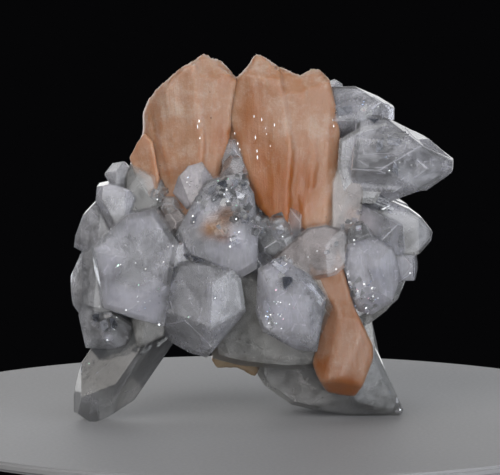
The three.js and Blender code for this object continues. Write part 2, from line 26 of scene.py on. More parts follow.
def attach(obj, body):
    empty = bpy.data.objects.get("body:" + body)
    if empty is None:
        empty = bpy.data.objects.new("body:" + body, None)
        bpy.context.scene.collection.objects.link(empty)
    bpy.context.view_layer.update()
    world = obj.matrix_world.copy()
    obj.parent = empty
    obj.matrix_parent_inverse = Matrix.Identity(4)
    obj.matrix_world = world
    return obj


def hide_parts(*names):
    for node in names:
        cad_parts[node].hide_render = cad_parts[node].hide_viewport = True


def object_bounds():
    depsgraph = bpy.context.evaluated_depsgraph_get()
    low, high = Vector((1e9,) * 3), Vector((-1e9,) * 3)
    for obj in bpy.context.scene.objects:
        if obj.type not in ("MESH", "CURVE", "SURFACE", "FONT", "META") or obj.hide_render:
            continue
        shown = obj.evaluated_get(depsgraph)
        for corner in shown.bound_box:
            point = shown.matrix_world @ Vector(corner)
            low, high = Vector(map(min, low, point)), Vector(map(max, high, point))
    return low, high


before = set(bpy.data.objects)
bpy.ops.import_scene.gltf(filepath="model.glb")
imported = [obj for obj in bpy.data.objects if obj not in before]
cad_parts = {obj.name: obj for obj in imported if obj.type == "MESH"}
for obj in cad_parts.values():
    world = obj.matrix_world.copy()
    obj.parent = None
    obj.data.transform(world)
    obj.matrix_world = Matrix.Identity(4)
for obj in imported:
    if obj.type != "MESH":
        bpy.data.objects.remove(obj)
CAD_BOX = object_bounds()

log = logging.getLogger("apophyllite_cluster")

Triple = tuple[float, float, float]
Pair = tuple[float, float]
Spread = tuple[str, float, float, float, float]  # a shader input and its range over a noise

MM = 0.001
BOX_MARGIN = 0.01 * MM  # how far inside the CAD box the pieces stay
PYRAMID_ANGLE = 60.4  # degrees from the c axis to the normal of a {101} pyramid face
CORNER_TOLERANCE = 1e-4  # mm
FLATTEST = 1e-5  # three planes with a smaller determinant meet in no corner
NEARLY_FLAT = 0.97  # cosine between two faces whose edge needs no wear
SHARPEST_BEND = 2.0  # radians
SMALLEST_STEP = 2.4  # mm from the middle of a face to its corners, below which it grows no step
SHEAF_SEAM = -6.7  # x in the layout frame where the two sheaves meet
SEED = 20
SOFT = {"interpolation_type": "SMOOTHSTEP"}  # a Map Range node with soft ends


# ---- colour and node helpers


def linear(hex_code: str) -> tuple[float, float, float, float]:
    """Turns an sRGB hex colour into the linear colour that a shader takes.

    Args:
        hex_code: Six hex digits with a leading hash.

    Returns:
        Red, green, blue and an alpha of 1.
    """
    channels = [int(hex_code[i : i + 2], 16) / 255 for i in (1, 3, 5)]
    bent = [c / 12.92 if c <= 0.04045 else ((c + 0.055) / 1.055) ** 2.4 for c in channels]
    return (bent[0], bent[1], bent[2], 1.0)


def add(
    tree: NodeTree, kind: str, links: dict | Sequence = (), out: int | str = 0, **settings: object,
) -> NodeSocket | None:
    """Adds one node with its settings and links.

    Args:
        tree: The node tree that gets it.
        kind: The node's type name, without its ShaderNode.
        links: Inputs by name or number, or a row of them in order. Each is the output that feeds
            it or its value, and None leaves it as it is.
        out: Which output to return.
        settings: Properties of the node itself.

    Returns:
        The chosen output, or None where the node has none.
    """
    made = tree.nodes.new(f"ShaderNode{kind}")
    for name, value in settings.items():
        setattr(made, name, value)
    for name, value in links.items() if isinstance(links, dict) else enumerate(links):
        if isinstance(value, NodeSocket):
            tree.links.new(value, made.inputs[name])
        elif value is not None:
            made.inputs[name].default_value = value
    return made.outputs[out] if made.outputs else None


# ---- mesh helpers


def baked(shell: BMesh, name: str) -> Mesh:
    """Turns a working mesh into a mesh.

    Args:
        shell: The working mesh, which is used up.
        name: The new mesh's name.

    Returns:
        The mesh.
    """
    mesh = bpy.data.meshes.new(name)
    shell.to_mesh(mesh)
    shell.free()
    return mesh


def close_rings(shell: BMesh, rings: list[list[BMVert]], colour: int) -> None:
    """Closes two rings of corners, one above the other, into a low prism.

    Args:
        shell: The working mesh that holds them.
        rings: The lower ring and the upper one.
        colour: Which of the mesh's materials it has.
    """
    lower, upper = rings
    faces = [list(reversed(lower)), upper]
    for index in range(len(lower)):
        after = (index + 1) % len(lower)
        faces.append([lower[index], lower[after], upper[after], upper[index]])
    for corners in faces:
        shell.faces.new(corners).material_index = colour


def united(meshes: list[Mesh], name: str) -> Mesh:
    """Joins overlapping closed meshes into one closed mesh.

    Args:
        meshes: The meshes, which are used up.
        name: The new mesh's name.

    Returns:
        The joined mesh.
    """
    crop = bpy.data.collections.new(name)
    bpy.context.scene.collection.children.link(crop)
    objects = [bpy.data.objects.new(f"{name}_{index}", mesh) for index, mesh in enumerate(meshes)]
    host, *others = objects
    bpy.context.scene.collection.objects.link(host)
    for other in others:
        crop.objects.link(other)
    joint = host.modifiers.new("join", "BOOLEAN")
    joint.operation = "UNION"
    joint.operand_type = "COLLECTION"
    joint.collection = crop
    joint.solver = "MANIFOLD"
    evaluated = host.evaluated_get(bpy.context.evaluated_depsgraph_get())
    made = bpy.data.meshes.new_from_object(evaluated)
    made.name = name
    for used in objects:
        bpy.data.objects.remove(used)
    bpy.data.collections.remove(crop)
    return made


def in_scene(name: str, data: ID) -> Object:
    """Puts a new object in the scene.

    Args:
        name: Its name.
        data: Its mesh, light or camera.

    Returns:
        The object.
    """
    made = bpy.data.objects.new(name, data)
    bpy.context.scene.collection.objects.link(made)
    return made


def place_mesh(mesh: Mesh, name: str, finishes: Iterable[Material]) -> Object:
    """Puts a mesh in the scene as a piece that rides on the root body.

    Args:
        mesh: The mesh, in metres in the row frame.
        name: The piece's name.
        finishes: Its materials.

    Returns:
        The piece.
    """
    if mesh.materials:
        mesh.materials.clear()
    for finish in finishes:
        mesh.materials.append(finish)
    piece = in_scene(name, mesh)
    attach(piece, "root")
    return piece


def points_of(mesh: Mesh) -> np.ndarray:
    """Reads a mesh's vertices.

    Args:
        mesh: The mesh.

    Returns:
        One row of x, y and z for each vertex.
    """
    flat = np.empty(len(mesh.vertices) * 3)
    mesh.vertices.foreach_get("co", flat)
    return flat.reshape(-1, 3)


def set_points(mesh: Mesh, points: np.ndarray) -> None:
    """Moves the mesh's vertices to the given rows."""
    mesh.vertices.foreach_set("co", points.astype(np.float32).ravel())
    mesh.update()


def set_layer(mesh: Mesh, name: str, domain: str, values: np.ndarray) -> None:
    """Writes one amount for each point or face corner to the mesh."""
    layer = mesh.attributes.new(name, "FLOAT", domain)
    layer.data.foreach_set("value", np.clip(values, 0, 1).astype(np.float32))


def tree_of(mesh: Mesh) -> BVHTree:
    """Returns a search tree of a mesh, for rays."""
    corners = [vertex.co[:] for vertex in mesh.vertices]
    return BVHTree.FromPolygons(corners, [polygon.vertices[:] for polygon in mesh.polygons])


def to_layout(places: np.ndarray | Vector, seat: np.ndarray) -> np.ndarray:
    """Turns metres in the row frame into millimetres in the layout frame."""
    return np.array(places) / MM - seat


def to_row(places: np.ndarray, seat: np.ndarray) -> np.ndarray:
    """Turns millimetres in the layout frame into metres in the row frame."""
    return (places + seat) * MM


def unit(values: Iterable[float]) -> np.ndarray:
    """Returns the direction of some numbers as a unit array."""
    direction = np.array(list(values), dtype=float)
    return direction / np.linalg.norm(direction)


def jitter(chance: Random, reach: float) -> list[float]:
    """Returns three random numbers from -reach to reach."""
    return [chance.uniform(-reach, reach) for _ in range(3)]


def soft_step(distance: np.ndarray, radius: float) -> np.ndarray:
    """Returns 1 at no distance, falling smoothly to 0 at the radius."""
    inside = np.clip(1 - distance / radius, 0, 1)
    return inside * inside * (3 - 2 * inside)


# ---- viewpoint


@dataclass(frozen=True)
class Viewpoint:
    """Where the cluster is seen from: a place on the image is a ray from the eye."""

    target: Triple = (-0.002764, -0.002107, 0.0383)
    elevation: float = math.radians(5.5)
    distance: float = 0.6
    width: float = 0.110  # seen across at the target
    image: tuple[int, int] = (500, 475)

    @property
    def forward(self) -> Vector:
        """The way the camera looks."""
        return Vector((0, math.cos(self.elevation), -math.sin(self.elevation)))

    @property
    def up(self) -> Vector:
        """The image's upward direction."""
        return Vector((0, math.sin(self.elevation), math.cos(self.elevation)))

    @property
    def eye(self) -> Vector:
        """The camera's place."""
        return Vector(self.target) - self.forward * self.distance

    def ray(self, across: float, down: float) -> Vector:
        """Returns the direction from the eye through a place on the image.

        Args:
            across: Pixels from the image's left edge.
            down: Pixels from its top edge.

        Returns:
            A unit direction.
        """
        pixel = self.width / self.image[0]
        right = (across - self.image[0] / 2) * pixel
        rise = (self.image[1] / 2 - down) * pixel
        through = self.forward * self.distance + Vector((right, 0, 0)) + self.up * rise
        return through.normalized()


VIEW = Viewpoint()


def strike(trees: list[BVHTree], across: float, down: float) -> tuple[Vector, Vector, int] | None:
    """Follows a place on the image to the first piece it meets.

    Args:
        trees: Search trees of the pieces, in the row frame.
        across: Pixels from the image's left edge.
        down: Pixels from its top edge.

    Returns:
        The place, the outward normal there and which tree it is on, or None where it meets nothing.
    """
    eye, direction = VIEW.eye, VIEW.ray(across, down)
    found = None
    for index, tree in enumerate(trees):
        spot, normal, _, distance = tree.ray_cast(eye, direction)
        if spot is not None and (found is None or distance < found[0]):
            found = (distance, spot, -normal if normal.dot(direction) > 0 else normal, index)
    return None if found is None else found[1:]


# ---- crystal forms


class Convex:
    """A convex body behind flat faces: each point p of it has normals @ p <= distances."""

    def __init__(
        self, name: str, normals: np.ndarray, distances: np.ndarray, facets: int | None = None,
    ) -> None:
        """Keeps the faces and works out the corners.

        Args:
            name: The crystal that the body belongs to.
            normals: One unit normal a row.
            distances: How far out each face lies along its normal, in millimetres.
            facets: How many of them are grown faces. The rest are worn or broken. None means all.
        """
        self.name = name
        self.facets = len(distances) if facets is None else facets
        self.normals = normals
        self.distances = distances
        self.corners, self.touches = self._corners()

    @classmethod
    def behind(cls, name: str, faces: Iterable[tuple[Sequence[float], Sequence[float]]]) -> "Convex":
        """Makes the body behind some faces.

        Args:
            name: The crystal that the body belongs to.
            faces: Pairs of an outward direction, of any length, and a point on the face.

        Returns:
            The body.
        """
        pairs = [(unit(direction), np.array(point)) for direction, point in faces]
        normals = np.array([normal for normal, _ in pairs])
        return cls(name, normals, np.array([normal @ point for normal, point in pairs]))

    def _corners(self) -> tuple[np.ndarray, np.ndarray]:
        """Finds where three faces meet.

        Returns:
            The corners, and for each of them which faces touch it.
        """
        count = len(self.distances)
        trios = np.array(list(itertools.combinations(range(count), 3)))
        a, b, c = (self.normals[trios[:, i]] for i in range(3))
        da, db, dc = (self.distances[trios[:, i], None] for i in range(3))
        scale = np.einsum("ij,ij->i", a, np.cross(b, c))
        good = np.abs(scale) > FLATTEST
        meets = (np.cross(b, c) * da + np.cross(c, a) * db + np.cross(a, b) * dc)[good]
        meets = meets / scale[good, None]
        meets = meets[(meets @ self.normals.T <= self.distances + CORNER_TOLERANCE).all(axis=1)]
        _, first = np.unique(np.round(meets / (4 * CORNER_TOLERANCE)), axis=0, return_index=True)
        meets = meets[first]
        return meets, np.abs(meets @ self.normals.T - self.distances) < 4 * CORNER_TOLERANCE

    def with_faces(self, faces: Iterable[tuple[np.ndarray, float]]) -> "Convex":
        """Returns the body cut by more faces.

        Args:
            faces: Pairs of a normal, of any length, and the matching distance.

        Returns:
            The cut body.
        """
        normals, distances = list(self.normals), list(self.distances)
        for normal, distance in faces:
            size = float(np.linalg.norm(normal))
            normals.append(normal / size)
            distances.append(distance / size)
        return Convex(self.name, np.array(normals), np.array(distances), self.facets)

    def worn(self, width: float, chance: Random) -> "Convex":
        """Returns the body with its edges taken off by narrow flats.

        Args:
            width: How wide the flats are, in millimetres.
            chance: Source of the small differences between edges.

        Returns:
            The worn body.
        """
        flats = []
        for i, j in itertools.combinations(range(len(self.distances)), 2):
            shared = np.count_nonzero(self.touches[:, i] & self.touches[:, j])
            if shared < 2 or self.normals[i] @ self.normals[j] > NEARLY_FLAT:
                continue
            bend = math.acos(float(np.clip(self.normals[i] @ self.normals[j], -1, 1)))
            cut = width / 2 * math.tan(min(bend, SHARPEST_BEND) / 2)
            lean = chance.uniform(0.7, 1.3)
            normal = self.normals[i] + lean * self.normals[j]
            through = self.distances[i] + lean * self.distances[j]
            depth = cut * chance.uniform(0.4, 1.5) * float(np.linalg.norm(normal))
            flats.append((normal, through - depth))
        return self.with_faces(flats)

    def step_on(self, face: int, rise: float, chance: Random) -> "Convex | None":
        """Returns a growth step: the body again, with one face a little further out over part of it.

        Args:
            face: Which face carries the step.
            rise: How high the step is, in millimetres.
            chance: Source of the step's place and outline.

        Returns:
            The stepped body, or None where the face is too small for one.
        """
        on_face = self.corners[self.touches[:, face]]
        if len(on_face) < 3:
            return None
        normal = self.normals[face]
        centre = on_face.mean(axis=0)
        reach = float(np.linalg.norm(on_face - centre, axis=1).mean())
        if reach < SMALLEST_STEP:
            return None
        side = on_face[0] - centre
        side = side / np.linalg.norm(side)
        other = np.cross(normal, side)
        shift = chance.uniform(-0.3, 0.3) * side + chance.uniform(-0.3, 0.3) * other
        middle = centre + shift * reach
        edges = []
        turn = chance.uniform(0, math.tau)
        sides = chance.choice((4, 4, 5))
        for index in range(sides):
            angle = turn + math.tau * (index + chance.uniform(-0.15, 0.15)) / sides
            around = math.cos(angle) * side + math.sin(angle) * other
            outward = around + 0.7 * normal
            edge_at = middle + around * reach * chance.uniform(0.3, 0.8)
            edges.append((outward, float(outward @ edge_at)))
        raised = self.distances.copy()
        raised[face] += rise
        return Convex(self.name, self.normals, raised, self.facets).with_faces(edges)

    def mesh(self) -> Mesh:
        """Makes the body's mesh.

        Returns:
            The mesh, in millimetres.
        """
        shell = bmesh.new()
        for corner in self.corners:
            shell.verts.new(corner)
        bmesh.ops.convex_hull(shell, input=shell.verts)
        bmesh.ops.delete(shell, geom=[v for v in shell.verts if not v.link_faces], context="VERTS")
        return baked(shell, self.name)


@dataclass(frozen=True)
class Spear:
    """A column of tetragonal apophyllite that ends in four pyramid faces and a small basal face."""

    tip: Triple
    axis: Triple
    turn: float  # degrees round the axis
    half: float  # from the axis to a side
    cap: float  # from the axis to a pyramid face, at the tip
    length: float

    def body(self, name: str) -> Convex:
        """Makes the crystal.

        Args:
            name: The crystal's name.

        Returns:
            The crystal as a convex body.
        """
        along = Vector(self.axis).normalized()
        end = Vector(self.tip)
        reference = Vector((0, 1, 0)) if abs(along.z) > 0.9 else Vector((0, 0, 1))
        first = (reference - along * reference.dot(along)).normalized()
        lean = math.radians(PYRAMID_ANGLE)
        faces = [(along, end), (-along, end - along * self.length)]
        for quarter in range(4):
            over_edge = math.radians(self.turn + 90 * quarter)
            to_edge = Matrix.Rotation(over_edge, 3, along) @ first
            to_side = Matrix.Rotation(over_edge + math.pi / 4, 3, along) @ first
            faces.append((along * math.cos(lean) + to_edge * math.sin(lean), end + to_edge * self.cap))
            faces.append((to_side, end + to_side * self.half))
        return Convex.behind(name, faces)


@dataclass(frozen=True)
class Block:
    """A crystal seen end on: a convex ring of (x, z) corners at depth girdle, closed by sloping faces.

    Each face is (x, y, z, right, up): a point on it and how far it falls back for each millimetre
    to the right and up. Rear faces close it behind in the same way.
    """

    outline: tuple[Pair, ...]
    girdle: float
    faces: tuple[tuple[float, ...], ...]
    rear: tuple[tuple[float, ...], ...]
    flare: float = 0.0

    def body(self, name: str) -> Convex:
        """Makes the crystal.

        Args:
            name: The crystal's name.

        Returns:
            The crystal as a convex body.
        """
        ring = np.array([(x, self.girdle, z) for x, z in self.outline])
        centre = ring.mean(axis=0)
        faces = []
        for here, after in zip(ring, np.roll(ring, -1, axis=0)):
            outward = unit((after[2] - here[2], 0, here[0] - after[0]))
            if outward @ (here - centre) < 0:
                outward = -outward
            outward[1] = -self.flare
            faces.append((outward, here))
        faces += [((right, -1, up), (x, y, z)) for x, y, z, right, up in self.faces]
        faces += [((-right, 1, -up), (x, y, z)) for x, y, z, right, up in self.rear]
        return Convex.behind(name, faces)


# ---- the crystals of the cluster

FRONT_BLOCKS: dict[str, Block] = {
    "left_block": Block(
        outline=((-36.7, 38.4), (-29.2, 45), (-23.3, 46.2), (-18.3, 39.2), (-21.4, 21.2), (-35.1, 25.8)),
        girdle=-22,
        faces=((-28, -24.5, 32, -0.08, -0.1), (-28, -24.6, 36.6, 0.05, 0.55),
            (-22.1, -24.7, 29.6, 0.19, -0.5), (-35.3, -23.9, 34, -3, -0.5),
            (-29, -23.8, 24.2, -0.5, -1.6)),
        rear=((-28, -4, 34, 0, 0),),
        flare=0.02,
    ),
    "left_block_side": Block(
        outline=((-39, 36.8), (-36.4, 38.4), (-31, 37), (-31, 25), (-35, 24.4), (-38.9, 25.1)),
        girdle=-16,
        faces=((-38, -19, 31, -1.2, 0.1), (-34, -21.6, 31, 0, 0)),
        rear=((-34, -3, 30, 0, 0),),
    ),
    "mid_block": Block(
        outline=((-22.1, 24), (-21, 29.6), (-18.3, 35.3), (-14.5, 35.6), (-6.9, 33.9), (-5, 31.7),
            (-3.9, 24.5), (-4.8, 23.4), (-9.9, 15.6), (-11.9, 14.0), (-16, 14.8), (-20, 17.0),
            (-21.9, 19.2)),
        girdle=-21,
        faces=((-11.2, -26, 26, -0.42, 0.1), (-11.2, -26, 26, 0.5, 0.06),
            (-14.5, -24.1, 33.2, 0.05, 0.8), (-11.3, -25.6, 20.7, -0.8, -1.1),
            (-11.3, -25.6, 20.7, 1.1, -1.05)),
        rear=((-12, -4, 28, 0, 0),),
    ),
    "window_block": Block(
        outline=((-19, 40.9), (-13.9, 49.8), (-12.4, 52.1), (-10.1, 52.8), (-4.6, 53.8), (-2.2, 49.4),
            (-1.3, 41.7), (-1.6, 33.8), (-5.2, 31.5), (-16.5, 35.8)),
        girdle=-18.5,
        faces=((-8, -22.5, 38, -0.1, -0.22), (-8, -22.2, 43.5, 0.05, 0.34),
            (-14.5, -21.5, 43, -0.85, 0.4), (-3.2, -21.4, 42, 1.1, 0.3), (-6, -19.6, 51, 0.25, 1.1),
            (-11.5, -19.6, 50, -0.5, 1)),
        rear=((-10, -2, 42, 0, 0),),
    ),
    "spark_block": Block(
        outline=((-1.4, 33.8), (1.6, 35.3), (5, 35.1), (9.4, 32.5), (13.2, 27.6), (11.2, 15.9),
            (6.7, 16.3), (-0.5, 20.6), (-1.9, 24.6)),
        girdle=-20,
        faces=((4, -24.3, 25, -0.12, -0.12), (4, -23.8, 31, 0.1, 0.62), (10.4, -23.4, 23, 1.15, 0),
            (9, -22.4, 30.4, 0.9, 0.8), (4, -23.4, 19.4, -0.2, -0.9), (-0.4, -23.6, 27, -1.1, 0.1)),
        rear=((6, -3, 26, 0, 0),),
    ),
    "rose_block": Block(
        outline=((-13.4, 55.8), (-11, 52.3), (-14.4, 48.2), (-16.5, 45.6), (-19.7, 49.1), (-18.6, 52.4),
            (-16.2, 55)),
        girdle=-12,
        faces=((-15.5, -14.8, 51, -0.12, 0.16), (-12.6, -14.2, 52, 0.9, 0.3), (-18, -14, 50, -0.8, -0.1),
            (-15, -14.2, 54, 0, 1.1)),
        rear=((-15, -4, 50, 0, 0),),
    ),
    "pale_block": Block(
        outline=((-1.6, 32.7), (9.2, 41.8), (13.4, 42.4), (17.6, 41.2), (18.4, 34.3), (15.2, 31.9),
            (8.3, 30.6)),
        girdle=-14,
        faces=((9, -17.4, 36, -0.18, 0.12), (11, -16.9, 39.6, 0.05, 0.8), (15, -17, 36, 0.6, 0.2)),
        rear=((9, -1, 36, 0, 0),),
    ),
    "sparkle_block": Block(
        outline=((16.9, 33.5), (17.8, 38.4), (23, 40), (27.8, 37.4), (29.4, 31.2), (27.2, 25.7),
            (23.1, 22.9), (20.1, 23.8)),
        girdle=-13,
        faces=((22.5, -17.5, 32, -0.25, 0.12), (26.6, -16.4, 31, 0.8, 0.1), (23.4, -16.4, 26, 0.1, -0.8),
            (23, -16.6, 36.6, 0.1, 0.75)),
        rear=((22, -1, 32, 0, 0),),
    ),
    "green_block": Block(
        outline=((16.1, 54.7), (17.9, 59.1), (19.4, 57), (20.8, 54.2), (21.4, 48.5), (20.4, 40),
            (14.6, 40), (14.6, 54)),
        girdle=-7,
        faces=((18.4, -9.6, 50, 0.1, 0.04), (16.4, -9, 50, -0.3, 0.2)),
        rear=((18, 4, 50, 0, 0),),
    ),
    "underside_block": Block(
        outline=((19.8, 25.5), (27.8, 25.4), (26.3, 23.5), (23.1, 20.9), (20.7, 19.6)),
        girdle=-10,
        faces=((24, -12.4, 23, 0.3, -0.6), (22, -12.4, 23, -0.7, -0.3)),
        rear=((23, 2, 24, 0, 0),),
    ),
    "lower_plate": Block(
        outline=((-15, 26), (-11, 13.8), (-5.3, 12.4), (5.6, 11.4), (13.5, 11.6), (17, 20), (12, 31),
            (-10, 33)),
        girdle=-14,
        faces=((-1, -18, 16, -0.08, -0.2), (-6, -17.8, 20, -0.35, 0.1), (9, -17.5, 16, 0.2, -0.16)),
        rear=((0, 4, 20, 0, -0.3),),
    ),
    "right_foot": Block(
        outline=((-2, 14), (-1.4, 9.4), (0.1, 7), (5.9, 2.9), (18, 0.2), (24, -0.6), (29.4, -0.4),
            (30.4, 1.3), (20, 24), (0, 24)),
        girdle=-7.5,
        faces=((8, -12.4, 10, -0.16, -0.16), (22, -12, 9, 0.5, 0.08), (14, -12, 2.6, 0.06, -1.2)),
        rear=((10, 7, 10, 0.3, 0.1), (20, 7, 9, -0.7, 0.1), (12, 6, 3, 0, 1.2)),
    ),
    "foot_shoulder": Block(
        outline=((19, 25), (23.4, 21), (24.3, 14), (22, 11), (17, 14)),
        girdle=-5,
        faces=((22, -8.6, 18, 0.3, 0.05),),
        rear=((21, 5, 18, 0, 0),),
    ),
    "spear_shoulder": Block(
        outline=((16.2, 60.4), (21, 63.2), (26.4, 63.8), (28, 54), (24, 46.6), (18, 46.6), (15.8, 54.6)),
        girdle=-7,
        faces=((21, -9.6, 54.4, 0.1, 0.16), (21, -9.6, 54.4, 0.12, -0.12)),
        rear=((21, 5, 55, 0, 0),),
    ),
    "bulge_block": Block(
        outline=((24, 44), (28, 46.6), (31.4, 45), (34.6, 42.7), (37, 39.7), (36.6, 37.8), (33.9, 35.2),
            (22, 33)),
        girdle=-1,
        faces=((30, -5.4, 40, 0.15, 0.1), (34, -4.6, 40, 0.9, 0.1), (31, -5, 44, 0.3, 0.7)),
        rear=((28, 9, 40, -0.5, 0),),
    ),
    "ledge_block": Block(
        outline=((-36.0, 50.5), (-33.4, 51.1), (-29, 50.0), (-27.5, 48.2), (-29.3, 43), (-33.2, 41),
            (-36.3, 47.3)),
        girdle=-12,
        faces=((-31.6, -14.8, 47, -0.05, 0.1), (-35.2, -14, 48.5, -1.3, 0.3),
            (-29.2, -14.3, 47, 0.9, 0.1), (-31.5, -14.2, 50, 0.1, 0.9), (-33.8, -14, 44, -0.9, -0.35)),
        rear=((-30, -2, 47, 0, 0),),
    ),
    "shoulder_block": Block(
        outline=((-36.4, 47), (-39.3, 43.9), (-40.9, 39.6), (-41.3, 37), (-39.4, 36.1), (-34, 36),
            (-31, 41), (-32, 46)),
        girdle=-9,
        faces=((-37, -11.8, 41, -0.7, 0.25), (-35, -12.6, 41, 0.2, 0.15), (-39, -10.8, 38, -0.9, -0.5)),
        rear=((-34, 2, 41, 0, 0),),
    ),
    "flank_block": Block(
        outline=((-39.2, 36.8), (-41.8, 31.1), (-41.3, 24.8), (-40, 22.8), (-34, 22.8), (-34, 36.8)),
        girdle=-10,
        faces=((-38, -14.6, 30, -0.4, 0.1), (-40.4, -13.6, 31, -1.4, 0.5), (-38, -14.2, 26, -0.4, -0.6)),
        rear=((-36, 4, 30, 0.4, 0),),
    ),
    "dome_block": Block(
        outline=((-29, 55.2), (-24.6, 53.3), (-22, 51.7), (-21, 49.4), (-21.8, 45.6), (-27, 43.6),
            (-30, 45), (-30, 52.4)),
        girdle=-9,
        faces=((-26, -12, 48, 0.02, 0.25), (-22.8, -11.2, 49, 0.9, 0.3), (-26, -11, 52.6, 0, 0.9),
            (-29.2, -11, 51, -0.5, 0.6)),
        rear=((-25, 0, 49, 0, 0),),
    ),
    "corner_block": Block(
        outline=((-39.9, 23.2), (-38.6, 26.5), (-35, 27), (-27.6, 20.8), (-29.6, 16.4), (-33.1, 15.8),
            (-38.3, 16.1)),
        girdle=-15,
        faces=((-34.5, -19.6, 21.5, -0.3, -0.1), (-31, -19, 20, 0.5, -0.5), (-34, -18.4, 17.6, 0, -1.1),
            (-38, -18.4, 21, -1.1, -0.1)),
        rear=((-34, -2, 21, 0, 0),),
    ),
    "wedge_block": Block(
        outline=((-28.8, 24), (-27.4, 16.6), (-25.9, 16.6), (-21.4, 18.8), (-21, 24)),
        girdle=-17,
        faces=((-26.6, -19.8, 19.5, -0.7, -0.2), (-24.6, -19.5, 20, 0.45, -0.5)),
        rear=((-25, -3, 20, 0, 0),),
    ),
}

OUTWARD_SPEARS: dict[str, Spear] = {
    "right_spear": Spear((41, -6, 54.7), (1, -0.1, -0.05), 8, 7.1, 1.2, 21.5),
    "right_spear_below": Spear((40.8, -6, 54.5), (1, -0.1, -0.05), 50, 5.7, 1.1, 21),
    "upper_spear": Spear((28.4, -1, 65.8), (1, 0.03, 0.02), 10, 4.4, 1.3, 14),
    "crest_spear": Spear((16.4, 5, 72.4), (0.5, 0.1, 0.85), 20, 2.6, 0.8, 16),
    "side_spear": Spear((32.9, -7, 32.4), (1, -0.25, -0.05), 45, 2.8, 2.5, 14),
    "left_spear": Spear((-40.2, -4, 30.4), (-0.94, 0.1, 0.12), 14, 5.6, 1.6, 22),
    "low_left_spear": Spear((-39.6, -5, 22), (-0.9, 0.1, -0.35), 30, 3.8, 1.6, 18),
    "peg_spear": Spear((-32.6, -7, 54.3), (-0.5, -0.35, 0.75), 15, 2.7, 1.7, 14),
    "left_foot": Spear((-39.2, -14.5, 0.6), (-0.56, -0.22, -0.8), 6, 5.2, 1.9, 34),
    "rear_foot": Spear((19, 19, -0.6), (0.2, 0.35, -0.9), 20, 7, 4, 32),
}

HOLLOW_SPEARS: dict[str, Spear] = {
    "glint_one": Spear((3.4, -14.5, 43.2), (0.2, -0.7, 0.7), 10, 2.6, 1.2, 12),
    "glint_two": Spear((0.6, -15, 39.4), (-0.2, -0.9, 0.4), 35, 2.8, 1.5, 12),
    "glint_three": Spear((5.6, -15, 38.8), (0.35, -0.85, 0.2), 20, 2.4, 1.1, 12),
    "glint_four": Spear((-0.4, -13.6, 43.4), (-0.1, -0.6, 0.8), 25, 1.9, 0.7, 10),
    "glint_five": Spear((21, -14.5, 41.2), (0.1, -0.8, 0.55), 20, 2.8, 1.3, 12),
    "glint_six": Spear((-20.6, -12.6, 47.6), (-0.1, -0.7, 0.6), 0, 2.2, 1, 10),
}

REAR_SPEARS: dict[str, Spear] = {
    "rear_top": Spear((-3, 20, 60), (-0.1, 0.5, 0.85), 12, 6.4, 2.8, 34),
    "rear_top_left": Spear((-21, 17, 57), (-0.45, 0.55, 0.7), 30, 5.6, 2.2, 32),
    "rear_top_right": Spear((17, 18, 60), (0.4, 0.55, 0.75), 22, 5.4, 2, 32),
    "rear_middle": Spear((-2, 30, 40), (0.05, 1, 0.12), 18, 7.8, 4.2, 34),
    "rear_left": Spear((-26, 25, 38), (-0.55, 0.8, 0.12), 8, 6.6, 3, 34),
    "rear_right": Spear((22, 25, 41), (0.5, 0.8, 0.05), 35, 6.4, 2.6, 34),
    "rear_low_left": Spear((-17, 25, 21), (-0.35, 0.8, -0.4), 25, 6.8, 3.4, 32),
    "rear_low_right": Spear((6, 27, 24), (0.1, 0.85, -0.35), 5, 6.2, 2.6, 32),
    "rear_hip": Spear((30, 15, 26), (0.75, 0.5, -0.2), 20, 5.8, 2.4, 30),
    "left_hip": Spear((-38, 10, 41), (-0.85, 0.4, 0.3), 10, 5.8, 2, 30),
    "left_low_hip": Spear((-36, 9, 25), (-0.85, 0.4, -0.15), 28, 5.4, 2.4, 28),
    "right_hip": Spear((31, 11, 43), (0.85, 0.4, 0.1), 15, 6, 2.6, 30),
    "right_high_hip": Spear((30, 9, 57), (0.7, 0.4, 0.5), 33, 4.6, 1.6, 26),
}

CORE_SPEARS: dict[str, Spear] = {
    "core_left": Spear((-34, 0, 36), (-0.9, 0, 0.1), 20, 9, 6, 34),
    "core_right": Spear((30, 0, 37), (0.9, 0.1, 0.1), 12, 9.5, 6, 38),
    "core_high": Spear((0, 4, 54), (0, 0.15, 1), 30, 11, 8, 40),
    "core_front": Spear((-10, -14, 34), (-0.1, -1, 0), 30, 10, 8, 30),
    "core_front_right": Spear((12, -10, 31), (0.1, -1, 0), 15, 9, 7, 26),
}

SEAM_SPEARS: dict[str, Spear] = {
    "seam_crystal": Spear((-6.3, -12.2, 57.0), (0.05, -0.25, 1.0), 20, 2.4, 0.9, 12),
    "seam_crystal_behind": Spear((-7.0, -8.0, 60.5), (-0.05, -0.15, 1.0), 50, 2.6, 0.9, 14),
    "seam_crystal_left": Spear((-18.6, -15.6, 44.6), (0.1, -0.75, 0.6), 30, 2.6, 1.3, 12),
    "seam_crystal_low": Spear((-15.6, -17.2, 39.0), (-0.1, -0.9, 0.35), 10, 2.5, 1.4, 12),
    "seam_crystal_beside_blade": Spear((18.9, -14.6, 28.2), (0.1, -1.0, 0.05), 15, 2.8, 1.8, 10),
    "seam_crystal_below_blade": Spear((19.8, -12.6, 24.0), (0.15, -1.0, -0.1), 35, 2.8, 1.8, 9),
    "seam_crystal_middle": Spear((-18.4, -21.3, 36.6), (0.05, -1.0, 0.12), 20, 3.0, 1.9, 12),
}
